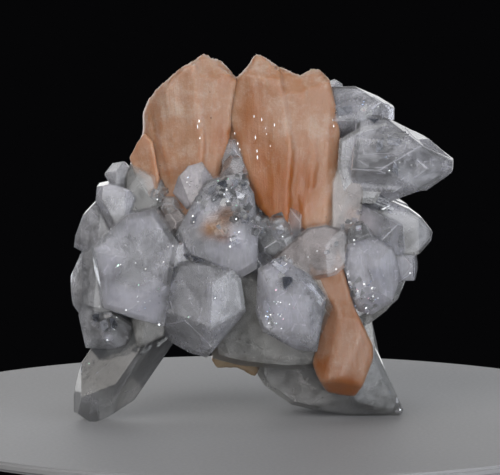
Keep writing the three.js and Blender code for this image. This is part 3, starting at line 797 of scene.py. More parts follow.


# ---- how each crystal grew, and where its glass is darkened as painted shade


@dataclass(frozen=True)
class Growth:
    """What clouds and tints the apophyllite, each from 0 to 1.

    cloud is veils of tiny bubbles, frost is etched skin, shatter is glass broken into flat chips,
    green, peach and rose are tints, peach standing for stilbite seen through the glass, and the
    last amount is painted shade, a grey standing in for dark surroundings seen through the glass.
    """

    cloud: float = 0.0
    frost: float = 0.0
    green: float = 0.0
    peach: float = 0.0
    rose: float = 0.0
    shatter: float = 0.0
    painted_dark: float = 0.0

    def values(self) -> np.ndarray:
        """Returns the amounts as an array, in the order of the fields."""
        return np.array([getattr(self, amount.name) for amount in fields(self)])


class Clarity(Enum):
    """The kinds of apophyllite in the cluster."""

    # the darkening amounts below are painted shade, standing in for dark surroundings seen through the
    # glass
    CLEAR = Growth(cloud=0.22, frost=0.05, green=0.15)
    HAZY = Growth(cloud=0.42, frost=0.05, green=0.1)
    MILKY = Growth(cloud=0.6, frost=0.05, green=0.05)
    GREENISH = Growth(cloud=0.42, frost=0.05, green=0.6)
    ROSY = Growth(cloud=0.46, frost=0.08, rose=0.6, painted_dark=0.15)
    FROSTY = Growth(cloud=0.72, frost=0.35, rose=0.25)
    SPARKLING = Growth(cloud=0.68, frost=0.2)
    # painted shade: the clear foot's glass darkened all through
    SMOKY = Growth(cloud=0.3, frost=0.05, green=0.2, painted_dark=0.8)
    TINGED = Growth(cloud=0.36, frost=0.05, green=0.5, painted_dark=0.2)
    DRUSY = Growth(cloud=0.25, frost=0.1)
    DARK = Growth(cloud=0.05, painted_dark=0.75)


GROWN_AS: dict[Clarity, tuple[str, ...]] = {
    Clarity.HAZY: (
        "left_block_side", "flank_block", "bulge_block", "corner_block", "glint_one", "glint_three",
        "glint_five",
    ),
    Clarity.TINGED: ("dome_block", "right_foot", "foot_shoulder"),
    Clarity.SPARKLING: ("spark_block", "sparkle_block"),
    Clarity.FROSTY: ("rose_block",),
    Clarity.ROSY: ("pale_block", "green_block", "seam_crystal", "seam_crystal_left"),
    Clarity.GREENISH: ("underside_block", "lower_plate", "wedge_block", "rear_low_left"),
    Clarity.SMOKY: ("left_foot",),
    Clarity.CLEAR: ("rear_foot", "rear_low_right", "rear_hip", "glint_two", "glint_four", "glint_six"),
    Clarity.DRUSY: ("druse",),
    Clarity.DARK: ("dark_chip",),
}

CLARITY: dict[str, Clarity] = {name: kind for kind, names in GROWN_AS.items() for name in names}


@dataclass(frozen=True)
class Zone:
    """A round part of the crystals, found by a place on the image, whose amounts differ, painted shade
    among them.
    """

    across: float
    down: float
    radius: float  # mm
    change: Growth


ZONES: tuple[Zone, ...] = (
    Zone(135, 272, 6.5, Growth(cloud=-0.2)),
    Zone(112, 262, 4.0, Growth(cloud=0.15)),
    Zone(143, 308, 6.0, Growth(cloud=0.45, frost=0.2)),
    Zone(120, 302, 6.0, Growth(cloud=0.45, frost=0.1)),
    Zone(360, 222, 6.0, Growth(cloud=0.5, rose=0.3)),
    Zone(395, 205, 4.0, Growth(cloud=0.35, frost=0.2)),
    Zone(100, 318, 3.0, Growth(cloud=-0.1, shatter=0.24)),
    Zone(115, 324, 3.0, Growth(cloud=-0.1, shatter=0.24)),
    Zone(107, 338, 2.5, Growth(cloud=0.4, frost=0.4)),
    # these move the painted shade over the clear left foot, darker in places and lighter in others
    Zone(88, 398, 6.0, Growth(cloud=0.3, painted_dark=-0.4)),
    Zone(130, 395, 5.0, Growth(cloud=0.3, painted_dark=-0.3)),
    Zone(94, 356, 5.0, Growth(cloud=-0.2, painted_dark=0.5)),
    Zone(104, 372, 5.0, Growth(cloud=-0.2, painted_dark=0.45)),
    Zone(120, 380, 4.0, Growth(cloud=-0.2, painted_dark=0.4)),
    Zone(110, 348, 3.0, Growth(cloud=0.3, painted_dark=-0.2)),
    Zone(195, 290, 6.0, Growth(cloud=-0.12)),
    Zone(236, 188, 5.0, Growth(shatter=0.21)),
    Zone(222, 186, 4.0, Growth(shatter=0.18)),
    Zone(244, 205, 4.0, Growth(shatter=0.18)),
    Zone(216, 226, 4.0, Growth(cloud=-0.1, peach=0.95)),
    Zone(228, 214, 3.2, Growth(cloud=-0.1, peach=0.9)),
    Zone(206, 231, 2.6, Growth(cloud=-0.1, peach=0.6)),
    Zone(223, 236, 2.4, Growth(peach=0.5)),
    Zone(351, 210, 2.0, Growth(peach=0.4)),
    Zone(266, 215, 2.4, Growth(peach=0.5)),
    Zone(289, 225, 2.4, Growth(peach=0.45)),
    Zone(112, 185, 5.0, Growth(cloud=0.1, frost=0.2)),
    # the next two add painted shade
    Zone(236, 165, 4.0, Growth(frost=0.2, painted_dark=0.3)),
    Zone(345, 198, 5.0, Growth(frost=0.1, painted_dark=0.2)),
    Zone(236, 240, 3.5, Growth(cloud=0.25, frost=0.5)),
    Zone(195, 215, 4.5, Growth(cloud=0.15, frost=0.4)),
    Zone(287, 284, 2.6, Growth(cloud=-0.15, frost=-0.4)),
    Zone(280, 266, 3.4, Growth(cloud=0.2, shatter=0.24)),
    Zone(280, 318, 5.0, Growth(cloud=0.25, frost=0.15)),
    Zone(353, 290, 4.0, Growth(shatter=0.42)),
    Zone(378, 280, 5.0, Growth(cloud=0.05, frost=-0.2)),
    Zone(384, 150, 4.5, Growth(cloud=-0.1, shatter=0.21)),
    Zone(392, 172, 4.0, Growth(cloud=-0.1, shatter=0.21)),
    Zone(370, 165, 5.0, Growth(cloud=-0.12)),
    Zone(345, 105, 6.0, Growth(cloud=0.15)),
    # the next two add painted shade at the right foot's tip and take some off lower in the middle
    Zone(380, 398, 5.0, Growth(cloud=-0.2, green=0.3, painted_dark=0.3)),
    Zone(300, 385, 7.0, Growth(cloud=0.15, painted_dark=-0.15)),
)


# ---- finishes


@dataclass(frozen=True)
class Finish:
    """A named material, which each kind of finish shades in its own way."""

    name: str

    def material(self) -> Material:
        """Makes the finish's material.

        Returns:
            A new material.
        """
        made = bpy.data.materials.new(self.name)
        made.use_nodes = True
        made.node_tree.nodes.clear()
        self.shade(made.node_tree)
        return made

    def shade(self, tree: NodeTree) -> None:
        """Fills the material's empty node tree."""
        raise NotImplementedError


@dataclass(frozen=True)
class GrownApophyllite(Finish):
    """Apophyllite, a hydrous silicate grown in a basalt cavity: glassy, with milky veils.

    Its faces are as bright as glass. Where the veils are thick it looks white, and where they are
    thin the crystal is see-through, so one shader goes from clear to milky with the cloud amount.
    A thin haze inside scatters the light, and most of a lamp's light passes the skin to reach it.
    """

    name: str = "grown_apophyllite"
    ior: float = 1.535
    clear: str = "#F1F3F6"
    milk: str = "#E2E2EF"
    green: str = "#BDB9A8"
    rose: str = "#E6CFC4"
    peach: str = "#D9925C"  # stilbite seen through the glass
    # painted shade: the grey that the glass is darkened towards
    painted_dark: str = "#77787C"
    body_tint: str = "#C4C6C4"
    haze_tint: str = "#FBFBFD"
    veil_size: float = 9.0  # mm across one veil
    mottle_size: float = 1.9  # mm
    streak_size: float = 0.7  # mm across a growth streak
    ripple_size: float = 1.8  # mm
    etch_size: float = 0.5  # mm, real etch pits are finer and would not show
    chip_size: float = 2.1  # mm
    crack_size: float = 7.0  # mm between cracks
    absorption: float = 4.0  # for each metre
    haze: float = 180.0  # how much of the light is scattered, for each metre
    lamp_share: float = 0.95  # of a lamp's light that passes the skin

    def shade(self, tree: NodeTree) -> None:
        """Fills the tree with a shader that reads the growth amounts, painted shade among them.

        Args:
            tree: The material's empty node tree.
        """
        place = add(tree, "TexCoord", out="Object")
        names = [amount.name for amount in fields(Growth)]
        amounts = {name: add(tree, "Attribute", out="Fac", attribute_name=name) for name in names}
        milky = self.milkiness(tree, place, amounts)
        share = add(tree, "MapRange", (milky, 0.0, 1.0), **SOFT)
        colour = add(
            tree, "Mix", {0: share, 6: linear(self.clear), 7: linear(self.milk)}, 2, data_type="RGBA",
        )
        # the last of these tints is painted shade
        for name in ("green", "rose", "peach", "painted_dark"):
            tint = linear(getattr(self, name))
            colour = add(tree, "Mix", {0: amounts[name], 6: colour, 7: tint}, 2, data_type="RGBA")
        shader = add(tree, "BsdfPrincipled", {
            "Base Color": colour,
            "Roughness": add(tree, "MapRange", (milky, 0.0, 0.9, 0.02, 0.14), **SOFT),
            "IOR": self.ior,
            "Transmission Weight": add(tree, "MapRange", (milky, 0.4, 1.1, 1.0, 0.6), **SOFT),
            "Coat Weight": 0.4,
            "Coat IOR": self.ior,
            "Coat Roughness": 0.05,
            "Subsurface Weight": 0.9,
            "Subsurface Radius": (1.0, 1.0, 1.05),
            "Subsurface Scale": 3.0 * MM,
            "Normal": self.skin(tree, place, amounts),
        })
        inside = add(tree, "AddShader", (
            add(tree, "VolumeAbsorption", {"Color": linear(self.body_tint), "Density": self.absorption}),
            add(tree, "VolumeScatter", {
                "Color": linear(self.haze_tint), "Density": self.haze, "Anisotropy": 0.3,
            }),
        ))
        to_lamp = add(tree, "LightPath", out="Is Shadow Ray")
        share = add(tree, "Math", (to_lamp, self.lamp_share), operation="MULTIPLY")
        surface = add(tree, "MixShader", (share, shader, add(tree, "BsdfTransparent")))
        add(tree, "OutputMaterial", {"Surface": surface, "Volume": inside})

    def milkiness(
        self, tree: NodeTree, place: NodeSocket, amounts: dict[str, NodeSocket],
    ) -> NodeSocket:
        """Adds wisps, growth streaks, mottle, cracks and etching to the cloud amount.

        Args:
            tree: The material's node tree.
            place: The object's own coordinates.
            amounts: The growth amounts by name.

        Returns:
            How milky the crystal is, from 0 to about 1.
        """
        veil = add(tree, "TexNoise", {
            "Vector": place, "Scale": 1 / (self.veil_size * MM), "Detail": 5.0, "Roughness": 0.5,
            "Distortion": 0.4,
        })
        streaks = add(tree, "TexNoise", {
            "Vector": add(tree, "Mapping", {"Vector": place, "Scale": (1.0, 0.5, 0.16)}),
            "Scale": 1 / (self.streak_size * MM), "Detail": 4.0, "Roughness": 0.65, "Distortion": 0.5,
        })
        mottle = add(tree, "TexNoise", {
            "Vector": place, "Scale": 1 / (self.mottle_size * MM), "Detail": 6.0, "Roughness": 0.66,
            "Distortion": 0.6,
        })
        walls = add(
            tree, "TexVoronoi", {"Vector": place, "Scale": 1 / (self.crack_size * MM)},
            feature="DISTANCE_TO_EDGE",
        )
        cracks = add(tree, "Math", (
            add(tree, "MapRange", (walls, 0.0, 0.03, 0.4, 0.0), **SOFT),
            add(tree, "MapRange", (mottle, 0.5, 0.64), **SOFT),
        ), operation="MULTIPLY")
        cloud = amounts["cloud"]
        for change in (
            add(tree, "MapRange", (veil, 0.36, 0.66, -0.07, 0.09), **SOFT),
            add(tree, "MapRange", (streaks, 0.42, 0.72, -0.02, 0.07), **SOFT),
            add(tree, "MapRange", (mottle, 0.34, 0.68, -0.02, 0.04), **SOFT),
            cracks,
        ):
            cloud = add(tree, "Math", (cloud, change), operation="ADD")
        fine = add(tree, "TexNoise", {
            "Vector": place, "Scale": 1 / (self.etch_size * MM), "Detail": 3.0, "Roughness": 0.6,
        })
        etched = add(tree, "Math", (amounts["frost"], fine), operation="MULTIPLY")
        return add(tree, "Math", (etched, 0.4, cloud), operation="MULTIPLY_ADD")

    def skin(self, tree: NodeTree, place: NodeSocket, amounts: dict[str, NodeSocket]) -> NodeSocket:
        """Tilts the skin in flat chips where it is shattered and in fine pits where it is frosted.

        Args:
            tree: The material's node tree.
            place: The object's own coordinates.
            amounts: The growth amounts by name.

        Returns:
            The bent normal, with a faint ripple all over.
        """
        bent = None
        for name, size, slope in (("shatter", self.chip_size, 0.7), ("frost", self.etch_size, 0.9)):
            cells = add(tree, "TexVoronoi", {"Vector": place, "Scale": 1 / (size * MM)}).node.outputs
            from_cell = add(tree, "VectorMath", (place, cells["Position"]), operation="SUBTRACT")
            lean = add(tree, "VectorMath", (cells["Color"], (0.5, 0.5, 0.5)), operation="SUBTRACT")
            bent = add(tree, "Bump", {
                "Height": add(tree, "VectorMath", (from_cell, lean), "Value", operation="DOT_PRODUCT"),
                "Distance": slope,
                "Strength": add(tree, "MapRange", (amounts[name], 0.05, 0.9), **SOFT),
                "Normal": bent,
            })
        ripple = add(tree, "TexNoise", {
            "Vector": place, "Scale": 1 / (self.ripple_size * MM), "Detail": 4.0, "Roughness": 0.55,
        })
        return add(tree, "Bump", {
            "Height": ripple, "Distance": 0.12 * MM, "Strength": 0.35, "Normal": bent,
        })


@dataclass(frozen=True)
class GrownStilbite(Finish):
    """Stilbite, a zeolite in sheaves of thin blades: silky along the fibres, peach from iron.

    Light sinks in a little and comes out warm, so thin edges glow. The lustre is pearly on the
    flat side of a blade and silky over the fibres.
    """

    name: str = "grown_stilbite"
    peach: str = "#B68B6E"
    # deeper orange: the stone's own, and painted shade low on the blades
    amber_and_shade: str = "#A4622C"
    # paler: the stone's own bloom, and a painted highlight on the right sheaf
    bloom_and_highlight: str = "#C9B0A0"
    fibre_size: float = 0.5  # mm, real fibres are finer and would not show
    patch_size: float = 6.0  # mm
    mottle_size: float = 4.0  # mm
    grain_size: float = 0.6  # mm

    def shade(self, tree: NodeTree) -> None:
        """Fills the tree with a shader that reads the fibre direction and two tints, partly painted light.

        Args:
            tree: The material's empty node tree.
        """
        fibre = add(tree, "Attribute", out="Vector", attribute_name="fibre")
        amber_and_shade = add(tree, "Attribute", out="Fac", attribute_name="amber_and_shade")
        bloom_and_highlight = add(tree, "Attribute", out="Fac", attribute_name="bloom_and_highlight")
        threads, bands = (
            add(tree, "TexNoise", {
                "Vector": add(tree, "Mapping", {"Vector": fibre, "Scale": scale}),
                "Scale": 1.0, "Detail": detail, "Roughness": 0.6, "Distortion": bend,
            })
            for scale, detail, bend in (
                ((1 / self.fibre_size, 1 / 1.2, 1 / 12), 4.0, 0.2),
                ((1 / 3.2, 1 / 3, 1 / self.patch_size), 6.0, 0.8),
            )
        )
        place = add(tree, "TexCoord", out="Object")
        mottle, grain = (
            add(tree, "TexNoise", {
                "Vector": place, "Scale": 1 / (size * MM), "Detail": detail, "Roughness": crumble,
            })
            for size, detail, crumble in ((self.mottle_size, 6.0, 0.6), (self.grain_size, 4.0, 0.75))
        )
        change = add(tree, "MapRange", (bands, 0.35, 0.68, -0.14, 0.14), **SOFT)
        warm = add(tree, "Math", (amber_and_shade, change), operation="ADD")
        pale = add(tree, "Math", (amber_and_shade, -0.55, bloom_and_highlight), operation="MULTIPLY_ADD")
        for spread in (
            (mottle, 0.38, 0.66, 0.0, 0.46), (grain, 0.42, 0.7, -0.05, 0.2),
            (threads, 0.45, 0.75, 0.0, 0.12),
        ):
            pale = add(tree, "Math", (pale, add(tree, "MapRange", spread, **SOFT)), operation="ADD")
        colour = linear(self.peach)
        for amount, most, tint in ((warm, 1.0, self.amber_and_shade), (pale, 1.1, self.bloom_and_highlight)):
            share = add(tree, "MapRange", (amount, 0.0, most), **SOFT)
            colour = add(tree, "Mix", {0: share, 6: colour, 7: linear(tint)}, 2, data_type="RGBA")
        skin = add(tree, "Bump", {"Height": threads, "Distance": 0.14 * MM, "Strength": 0.5})
        skin = add(tree, "Bump", {"Height": grain, "Distance": 0.16 * MM, "Strength": 0.6, "Normal": skin})
        shader = add(tree, "BsdfPrincipled", {
            "Base Color": colour,
            "Roughness": add(tree, "MapRange", (mottle, 0.3, 0.7, 0.28, 0.45), **SOFT),
            "IOR": 1.5,
            "Subsurface Weight": 0.8,
            "Subsurface Radius": (1.0, 0.66, 0.45),
            "Subsurface Scale": 3.6 * MM,
            "Coat Weight": 0.4,
            "Coat Roughness": 0.16,
            "Normal": skin,
        })
        add(tree, "OutputMaterial", {"Surface": shader})


@dataclass(frozen=True)
class GrainedFinish(Finish):
    """A finish of one shader, some of whose values follow a noise."""

    tint: str = "#F7F9FC"
    flecks: str = ""  # the colour where the noise is high, if it has another there
    grain_size: float = 0.8  # mm
    detail: float = 3.0
    crumble: float = 0.5
    bend: float = 0.0
    fixed: tuple[tuple[str, float], ...] = ()

    @property
    def follows(self) -> tuple[Spread, ...]:
        """Which inputs follow the noise: from where to where, and the values there."""
        return ()

    def shade(self, tree: NodeTree) -> None:
        """Fills the tree with the noise and the shader that follows it.

        Args:
            tree: The material's empty node tree.
        """
        grain = add(tree, "TexNoise", {
            "Vector": add(tree, "TexCoord", out="Object"), "Scale": 1 / (self.grain_size * MM),
            "Detail": self.detail, "Roughness": self.crumble, "Distortion": self.bend,
        })
        colour = linear(self.tint)
        if self.flecks:
            share = add(tree, "MapRange", (grain, 0.4, 0.65), **SOFT)
            colour = add(tree, "Mix", {0: share, 6: colour, 7: linear(self.flecks)}, 2, data_type="RGBA")
        values = {"Base Color": colour, **dict(self.fixed)}
        for name, *spread in self.follows:
            values[name] = add(tree, "MapRange", (grain, *spread), **SOFT)
        add(tree, "OutputMaterial", {"Surface": add(tree, "BsdfPrincipled", values)})


@dataclass(frozen=True)
class PaintedPatch(GrainedFinish):
    """A patch of painted light in the skin: pale as a painted glint, dark as painted shade, grey between.
    """

    clear: float = 0.2
    grain_size: float = 0.7  # mm
    detail: float = 4.0
    fixed: tuple[tuple[str, float], ...] = (("IOR", 1.535),)

    @property
    def follows(self) -> tuple[Spread, ...]:
        """Duller and clearer where the noise is high."""
        through = ("Transmission Weight", 0.35, 0.65, self.clear, self.clear + 0.3)
        return (("Roughness", 0.3, 0.7, 0.08, 0.35), through)


@dataclass(frozen=True)
class MirrorCrack(GrainedFinish):
    """A thin air crack just under the skin: it throws back all light, with a faint film colour.

    Light that meets air from inside glass at a low angle is reflected whole, as by metal.
    """

    grain_size: float = 0.3  # mm
    detail: float = 2.0
    fixed: tuple[tuple[str, float], ...] = (("Metallic", 0.85),)

    @property
    def follows(self) -> tuple[Spread, ...]:
        """A slightly uneven mirror."""
        return (("Roughness", 0.3, 0.7, 0.15, 0.35),)


@dataclass(frozen=True)
class HealedCrack(GrainedFinish):
    """A crack inside a crystal that grew shut and left a thin cloud of bubbles, seen as a veil."""

    name: str = "healed_crack_veil"
    tint: str = "#F4F5F9"
    grain_size: float = 6.0  # mm across one cloud
    detail: float = 7.0
    crumble: float = 0.74
    bend: float = 0.2
    fixed: tuple[tuple[str, float], ...] = (("IOR", 1.2),)

    @property
    def follows(self) -> tuple[Spread, ...]:
        """Whitest where the bubbles are thick."""
        return (("Roughness", 0.4, 0.7, 0.15, 0.5), ("Alpha", 0.35, 0.75, 0.04, 0.3))


@dataclass(frozen=True)
class IronOxideAndCreviceShade(GrainedFinish):
    """Specks of iron oxide dust that grew in last, dull, crumbly, nearly black to rust brown; a row is
    painted crevice shade.
    """

    name: str = "iron_oxide_and_crevice_shade_specks"
    tint: str = "#1B1512"
    flecks: str = "#4A2F20"
    grain_size: float = 0.25  # mm
    fixed: tuple[tuple[str, float], ...] = (("Roughness", 0.85),)


@dataclass(frozen=True)
class MattBoard(GrainedFinish):
    """Pale matt board, as used under specimens: it shows soft shadows and no reflections."""

    name: str = "pale_matt_board"
    tint: str = "#A0A1A4"

    @property
    def follows(self) -> tuple[Spread, ...]:
        """Evenly matt."""
        return (("Roughness", 0.3, 0.7, 0.55, 0.7),)


# ---- apophyllite


@dataclass
class ApophylliteCluster:
    """All the apophyllite as one solid: the large crystals, their growth steps and a fine druse."""

    edge_wear: float = 0.26  # mm across a worn edge
    # worn edges are whitened: partly the frosted skin of real wear, partly a painted highlight along the
    # edges
    wear_and_edge_highlight: Growth = Growth(cloud=0.65, frost=0.25)
    fully_worn: float = 12.0  # mm, the size from which a crystal has all the edge wear
    step_rise: float = 0.08  # mm
    step_faces: int = 2
    split_length: float = 2.2  # mm
    split_rounds: int = 7
    smallest_veiled: float = 4.0  # mm
    veils_each: int = 3
    veil_thickness: float = 0.04  # mm
    phantoms: tuple[float, ...] = (0.72, 0.88)  # shares of the crystal's size
    lucid: tuple[str, ...] = ("left_foot",)
    crevice_seeds: int = 240
    crevice_size: Pair = (0.5, 1.5)  # mm
    crevice_length: float = 1.2  # mm, the shortest crevice that carries small crystals
    crevice_angle: float = math.radians(35)
    crevice_clear: Pair = (0.002, 0.006)  # metres behind the middle and above the floor
    crevice_facing: Pair = (0.45, -0.3)  # the least rearward and upward part of a crystal's direction
    overhang_clear: float = 0.03  # metres above the floor, from where small crystals hang too
    seat: np.ndarray = field(default_factory=lambda: np.zeros(3))
    bodies: list[Convex] = field(default_factory=list)

    def lay_out(self) -> None:
        """Works out the large crystals and how far the layout is moved to sit in the row frame."""
        chance = Random(SEED)
        floor = [(np.array((0.0, 0.0, -1.0)), 0.0)]
        tables = (FRONT_BLOCKS, OUTWARD_SPEARS, HOLLOW_SPEARS, REAR_SPEARS, CORE_SPEARS, SEAM_SPEARS)
        plain = [form.body(name).with_faces(floor) for table in tables for name, form in table.items()]
        for body in plain:
            body.facets = len(body.distances)
        corners = np.concatenate([body.corners for body in plain])
        middle = (corners.min(axis=0) + corners.max(axis=0)) / 2
        self.seat = np.array((-middle[0], -middle[1], 0.0))
        for body in plain:
            size = float(np.ptp(body.corners, axis=0).min())
            self.bodies.append(body.worn(self.edge_wear * min(1.0, size / self.fully_worn), chance))
            if body.name.startswith(("core", "glint")):
                continue
            faces = sorted(range(len(body.distances)), key=lambda i: -body.touches[:, i].sum())
            for face in faces[: self.step_faces]:
                step = body.step_on(face, self.step_rise * chance.uniform(0.6, 1.6), chance)
                if step is not None and len(step.corners) > 3:
                    self.bodies.append(step)
        log.info("apophyllite: %d crystals, %d bodies with growth steps", len(plain), len(self.bodies))

    def split(self, mesh: Mesh) -> None:
        """Cuts large facets into small triangles, so that amounts can vary over them.

        Args:
            mesh: The mesh, in millimetres.
        """
        shell = bmesh.new()
        shell.from_mesh(mesh)
        bmesh.ops.triangulate(shell, faces=shell.faces)
        for _ in range(self.split_rounds):
            long_edges = [edge for edge in shell.edges if edge.calc_length() > self.split_length]
            if not long_edges:
                break
            bmesh.ops.subdivide_edges(shell, edges=long_edges, cuts=1)
            bmesh.ops.triangulate(shell, faces=shell.faces)
        shell.to_mesh(mesh)
        shell.free()

    def owners(self, centres: np.ndarray) -> tuple[np.ndarray, np.ndarray]:
        """Finds the crystal that each face belongs to.

        Args:
            centres: The faces' middles, in millimetres in the layout frame.

        Returns:
            For each face, the index in bodies of the one whose skin it lies on, and whether that
            skin is worn or broken there.
        """
        owner = np.zeros(len(centres), dtype=int)
        worn = np.zeros(len(centres), dtype=bool)
        best = np.full(len(centres), 1e9)
        for index, body in enumerate(self.bodies):
            low, high = body.corners.min(axis=0) - 0.1, body.corners.max(axis=0) + 0.1
            near = np.nonzero(((centres > low) & (centres < high)).all(axis=1))[0]
            beyond = centres[near] @ body.normals.T - body.distances
            gap = np.abs(beyond.max(axis=1))
            closer = gap < best[near]
            owner[near[closer]] = index
            worn[near[closer]] = beyond.argmax(axis=1)[closer] >= body.facets
            best[near[closer]] = gap[closer]
        return owner, worn

    def amounts(self, mesh: Mesh, trees: list[BVHTree]) -> None:
        """Writes the growth amounts, painted shade among them, of every face corner to the mesh.

        Args:
            mesh: The split mesh, in millimetres in the layout frame.
            trees: Search trees of the pieces in the row frame, for the zones' places.
        """
        points = points_of(mesh)
        corners = np.empty(len(mesh.loops), dtype=np.int64)
        mesh.loops.foreach_get("vertex_index", corners)
        faces = corners.reshape(-1, 3)
        chance = Random(SEED)
        names = dict.fromkeys(body.name for body in self.bodies if body.name != "druse")
        own = {name: chance.uniform(-0.08, 0.08) for name in names}
        rows = []
        for body in self.bodies:
            row = CLARITY.get(body.name, Clarity.MILKY).value.values()
            row[0] += own[body.name] if body.name in own else chance.uniform(-0.25, 0.45)
            rows.append(row)
        owner, worn = self.owners(points[faces].mean(axis=1))
        values = np.array(rows)[owner]
        # worn edges whitened, partly as a painted highlight
        values[worn] += self.wear_and_edge_highlight.values()
        values = np.repeat(values, 3, axis=0)
        for zone in ZONES:
            hit = strike(trees, zone.across, zone.down)
            if hit is None:
                continue
            centre = to_layout(hit[0], self.seat)
            weight = soft_step(np.linalg.norm(points - centre, axis=1), zone.radius)
            values += weight[corners, None] * zone.change.values()
        for column, amount in enumerate(fields(Growth)):
            set_layer(mesh, amount.name, "CORNER", values[:, column])

    def pour(self, body: Convex, shell: BMesh) -> None:
        """Adds a body's mesh to a working mesh.

        Args:
            body: The body, in the layout frame.
            shell: The working mesh, in the row frame.
        """
        made = body.mesh()
        set_points(made, to_row(points_of(made), self.seat))
        shell.from_mesh(made)
        bpy.data.meshes.remove(made)

    def veils(self) -> Object:
        """Makes what shows inside the large crystals: healed cracks and outlines of younger growth.

        Returns:
            The piece.
        """
        chance = Random(SEED + 4)
        shell = bmesh.new()
        for body in self.bodies:
            small = np.ptp(body.corners, axis=0).min() < self.smallest_veiled
            if small or body.facets == len(body.distances) or body.name in ("druse", "dark_chip"):
                continue
            centre = body.corners.mean(axis=0)
            faces = body.normals[: body.facets]
            levels = faces @ centre
            for share in () if body.name in self.lucid else self.phantoms:
                inner = levels + share * (body.distances[: body.facets] - levels)
                self.pour(Convex("phantom", faces, inner), shell)
            for _ in range(1 if body.name in self.lucid else self.veils_each):
                normal = unit((chance.uniform(-1, 1), chance.choice((-1, 1)), chance.uniform(-1, 1)))
                span = float(np.ptp(body.corners @ normal))
                through = float(normal @ centre) + chance.uniform(-0.22, 0.22) * span
                half = self.veil_thickness / 2
                around = [(normal, through + half), (-normal, half - through)]
                for n, d in zip(body.normals, body.distances):
                    around.append((n, d - chance.uniform(0.6, 2.2)))
                for _ in range(3):
                    cut = unit(np.cross(normal, jitter(chance, 1)))
                    around.append((cut, float(cut @ centre) + chance.uniform(1.0, 5.0)))
                normals = np.array([n for n, _ in around])
                sheet = Convex("veil", normals, np.array([d for _, d in around]))
                if len(sheet.corners) >= 6:
                    self.pour(sheet, shell)
        mesh = baked(shell, "healed_cracks")
        return place_mesh(mesh, "healed_cracks", [HealedCrack().material()])

    def build(self, stilbite_trees: list[BVHTree]) -> tuple[Object, BVHTree]:
        """Makes the finished piece.

        Args:
            stilbite_trees: Search trees of the stilbite, in the row frame.

        Returns:
            The piece and its search tree, in the row frame.
        """
        chance = Random(SEED + 1)
        rough = united([body.mesh() for body in self.bodies], "large_crystals")
        set_points(rough, to_row(points_of(rough), self.seat))
        trees = [tree_of(rough), *stilbite_trees]
        self.bodies += [*self.ridges(trees), *self.druse(rough, trees, chance)]
        mesh = united([body.mesh() for body in self.bodies], "apophyllite_cluster")
        self.split(mesh)
        self.amounts(mesh, trees)
        low, high = (np.array(corner) for corner in CAD_BOX)
        set_points(mesh, np.clip(to_row(points_of(mesh), self.seat), low + BOX_MARGIN, high - BOX_MARGIN))
        mesh.polygons.foreach_set("use_smooth", [False] * len(mesh.polygons))
        piece = place_mesh(mesh, "apophyllite", [GrownApophyllite().material()])
        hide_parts("apophyllite_cluster")
        log.info("apophyllite: %d triangles", len(mesh.polygons))
        return piece, tree_of(mesh)

    def ridges(self, trees: list[BVHTree]) -> list[Convex]:
        """Makes the raised striae on the faces that show them.

        Args:
            trees: Search trees of the pieces, in the row frame.

        Returns:
            The ridges as bodies in the layout frame.
        """
        made = []
        for line in STRIAE:
            ends = [strike(trees, *place) for place in (line.start, line.end)]
            if None in ends:
                continue
            normal = unit(ends[0][1])
            first, last = (to_layout(end[0], self.seat) for end in ends)
            last = last - normal * float(normal @ (last - first))
            along = unit(last - first)
            side = np.cross(normal, along)
            for index in range(line.count):
                shift = side * line.spacing * (index - (line.count - 1) / 2)
                trim = 0.12 * ((index * 7) % 3) * (last - first)  # neighbours end at different places
                start, stop = first + shift + trim * 0.5, last + shift - trim
                top = start + normal * line.rise
                made.append(Convex.behind("druse", (
                    (side + 2 * normal, top), (-side + 2 * normal, top), (along, stop), (-along, start),
                    (-normal, start - normal * 0.3),
                )))
        return made

    def chip(self, name: str, spot: Vector, normal: Vector, size: float, chance: Random) -> Convex:
        """Makes one low chip of broken glass in the skin, with a tilted flat top.

        Args:
            name: The name that its growth amounts go by.
            spot: Its place, in metres in the row frame.
            normal: The skin's outward normal there.
            size: How wide it is, in millimetres.
            chance: Source of its outline and tilt.

        Returns:
            The chip as a body in the layout frame.
        """
        out = unit(normal)
        centre = to_layout(spot, self.seat)
        side = unit(np.cross(out, jitter(chance, 1)))
        other = np.cross(out, side)
        top = unit(out + chance.uniform(-0.5, 0.5) * side + chance.uniform(-0.5, 0.5) * other)
        faces = [(top, centre + out * 0.12 * size), (-out, centre - out * size)]
        for quarter in range(5):
            angle = math.tau * (quarter + chance.uniform(-0.2, 0.2)) / 5
            around = math.cos(angle) * side + math.sin(angle) * other
            faces.append((unit(around + 0.35 * out), centre + around * size * chance.uniform(0.3, 0.55)))
        normals = np.array([direction for direction, _ in faces])
        return Convex(name, normals, np.array([direction @ point for direction, point in faces]))

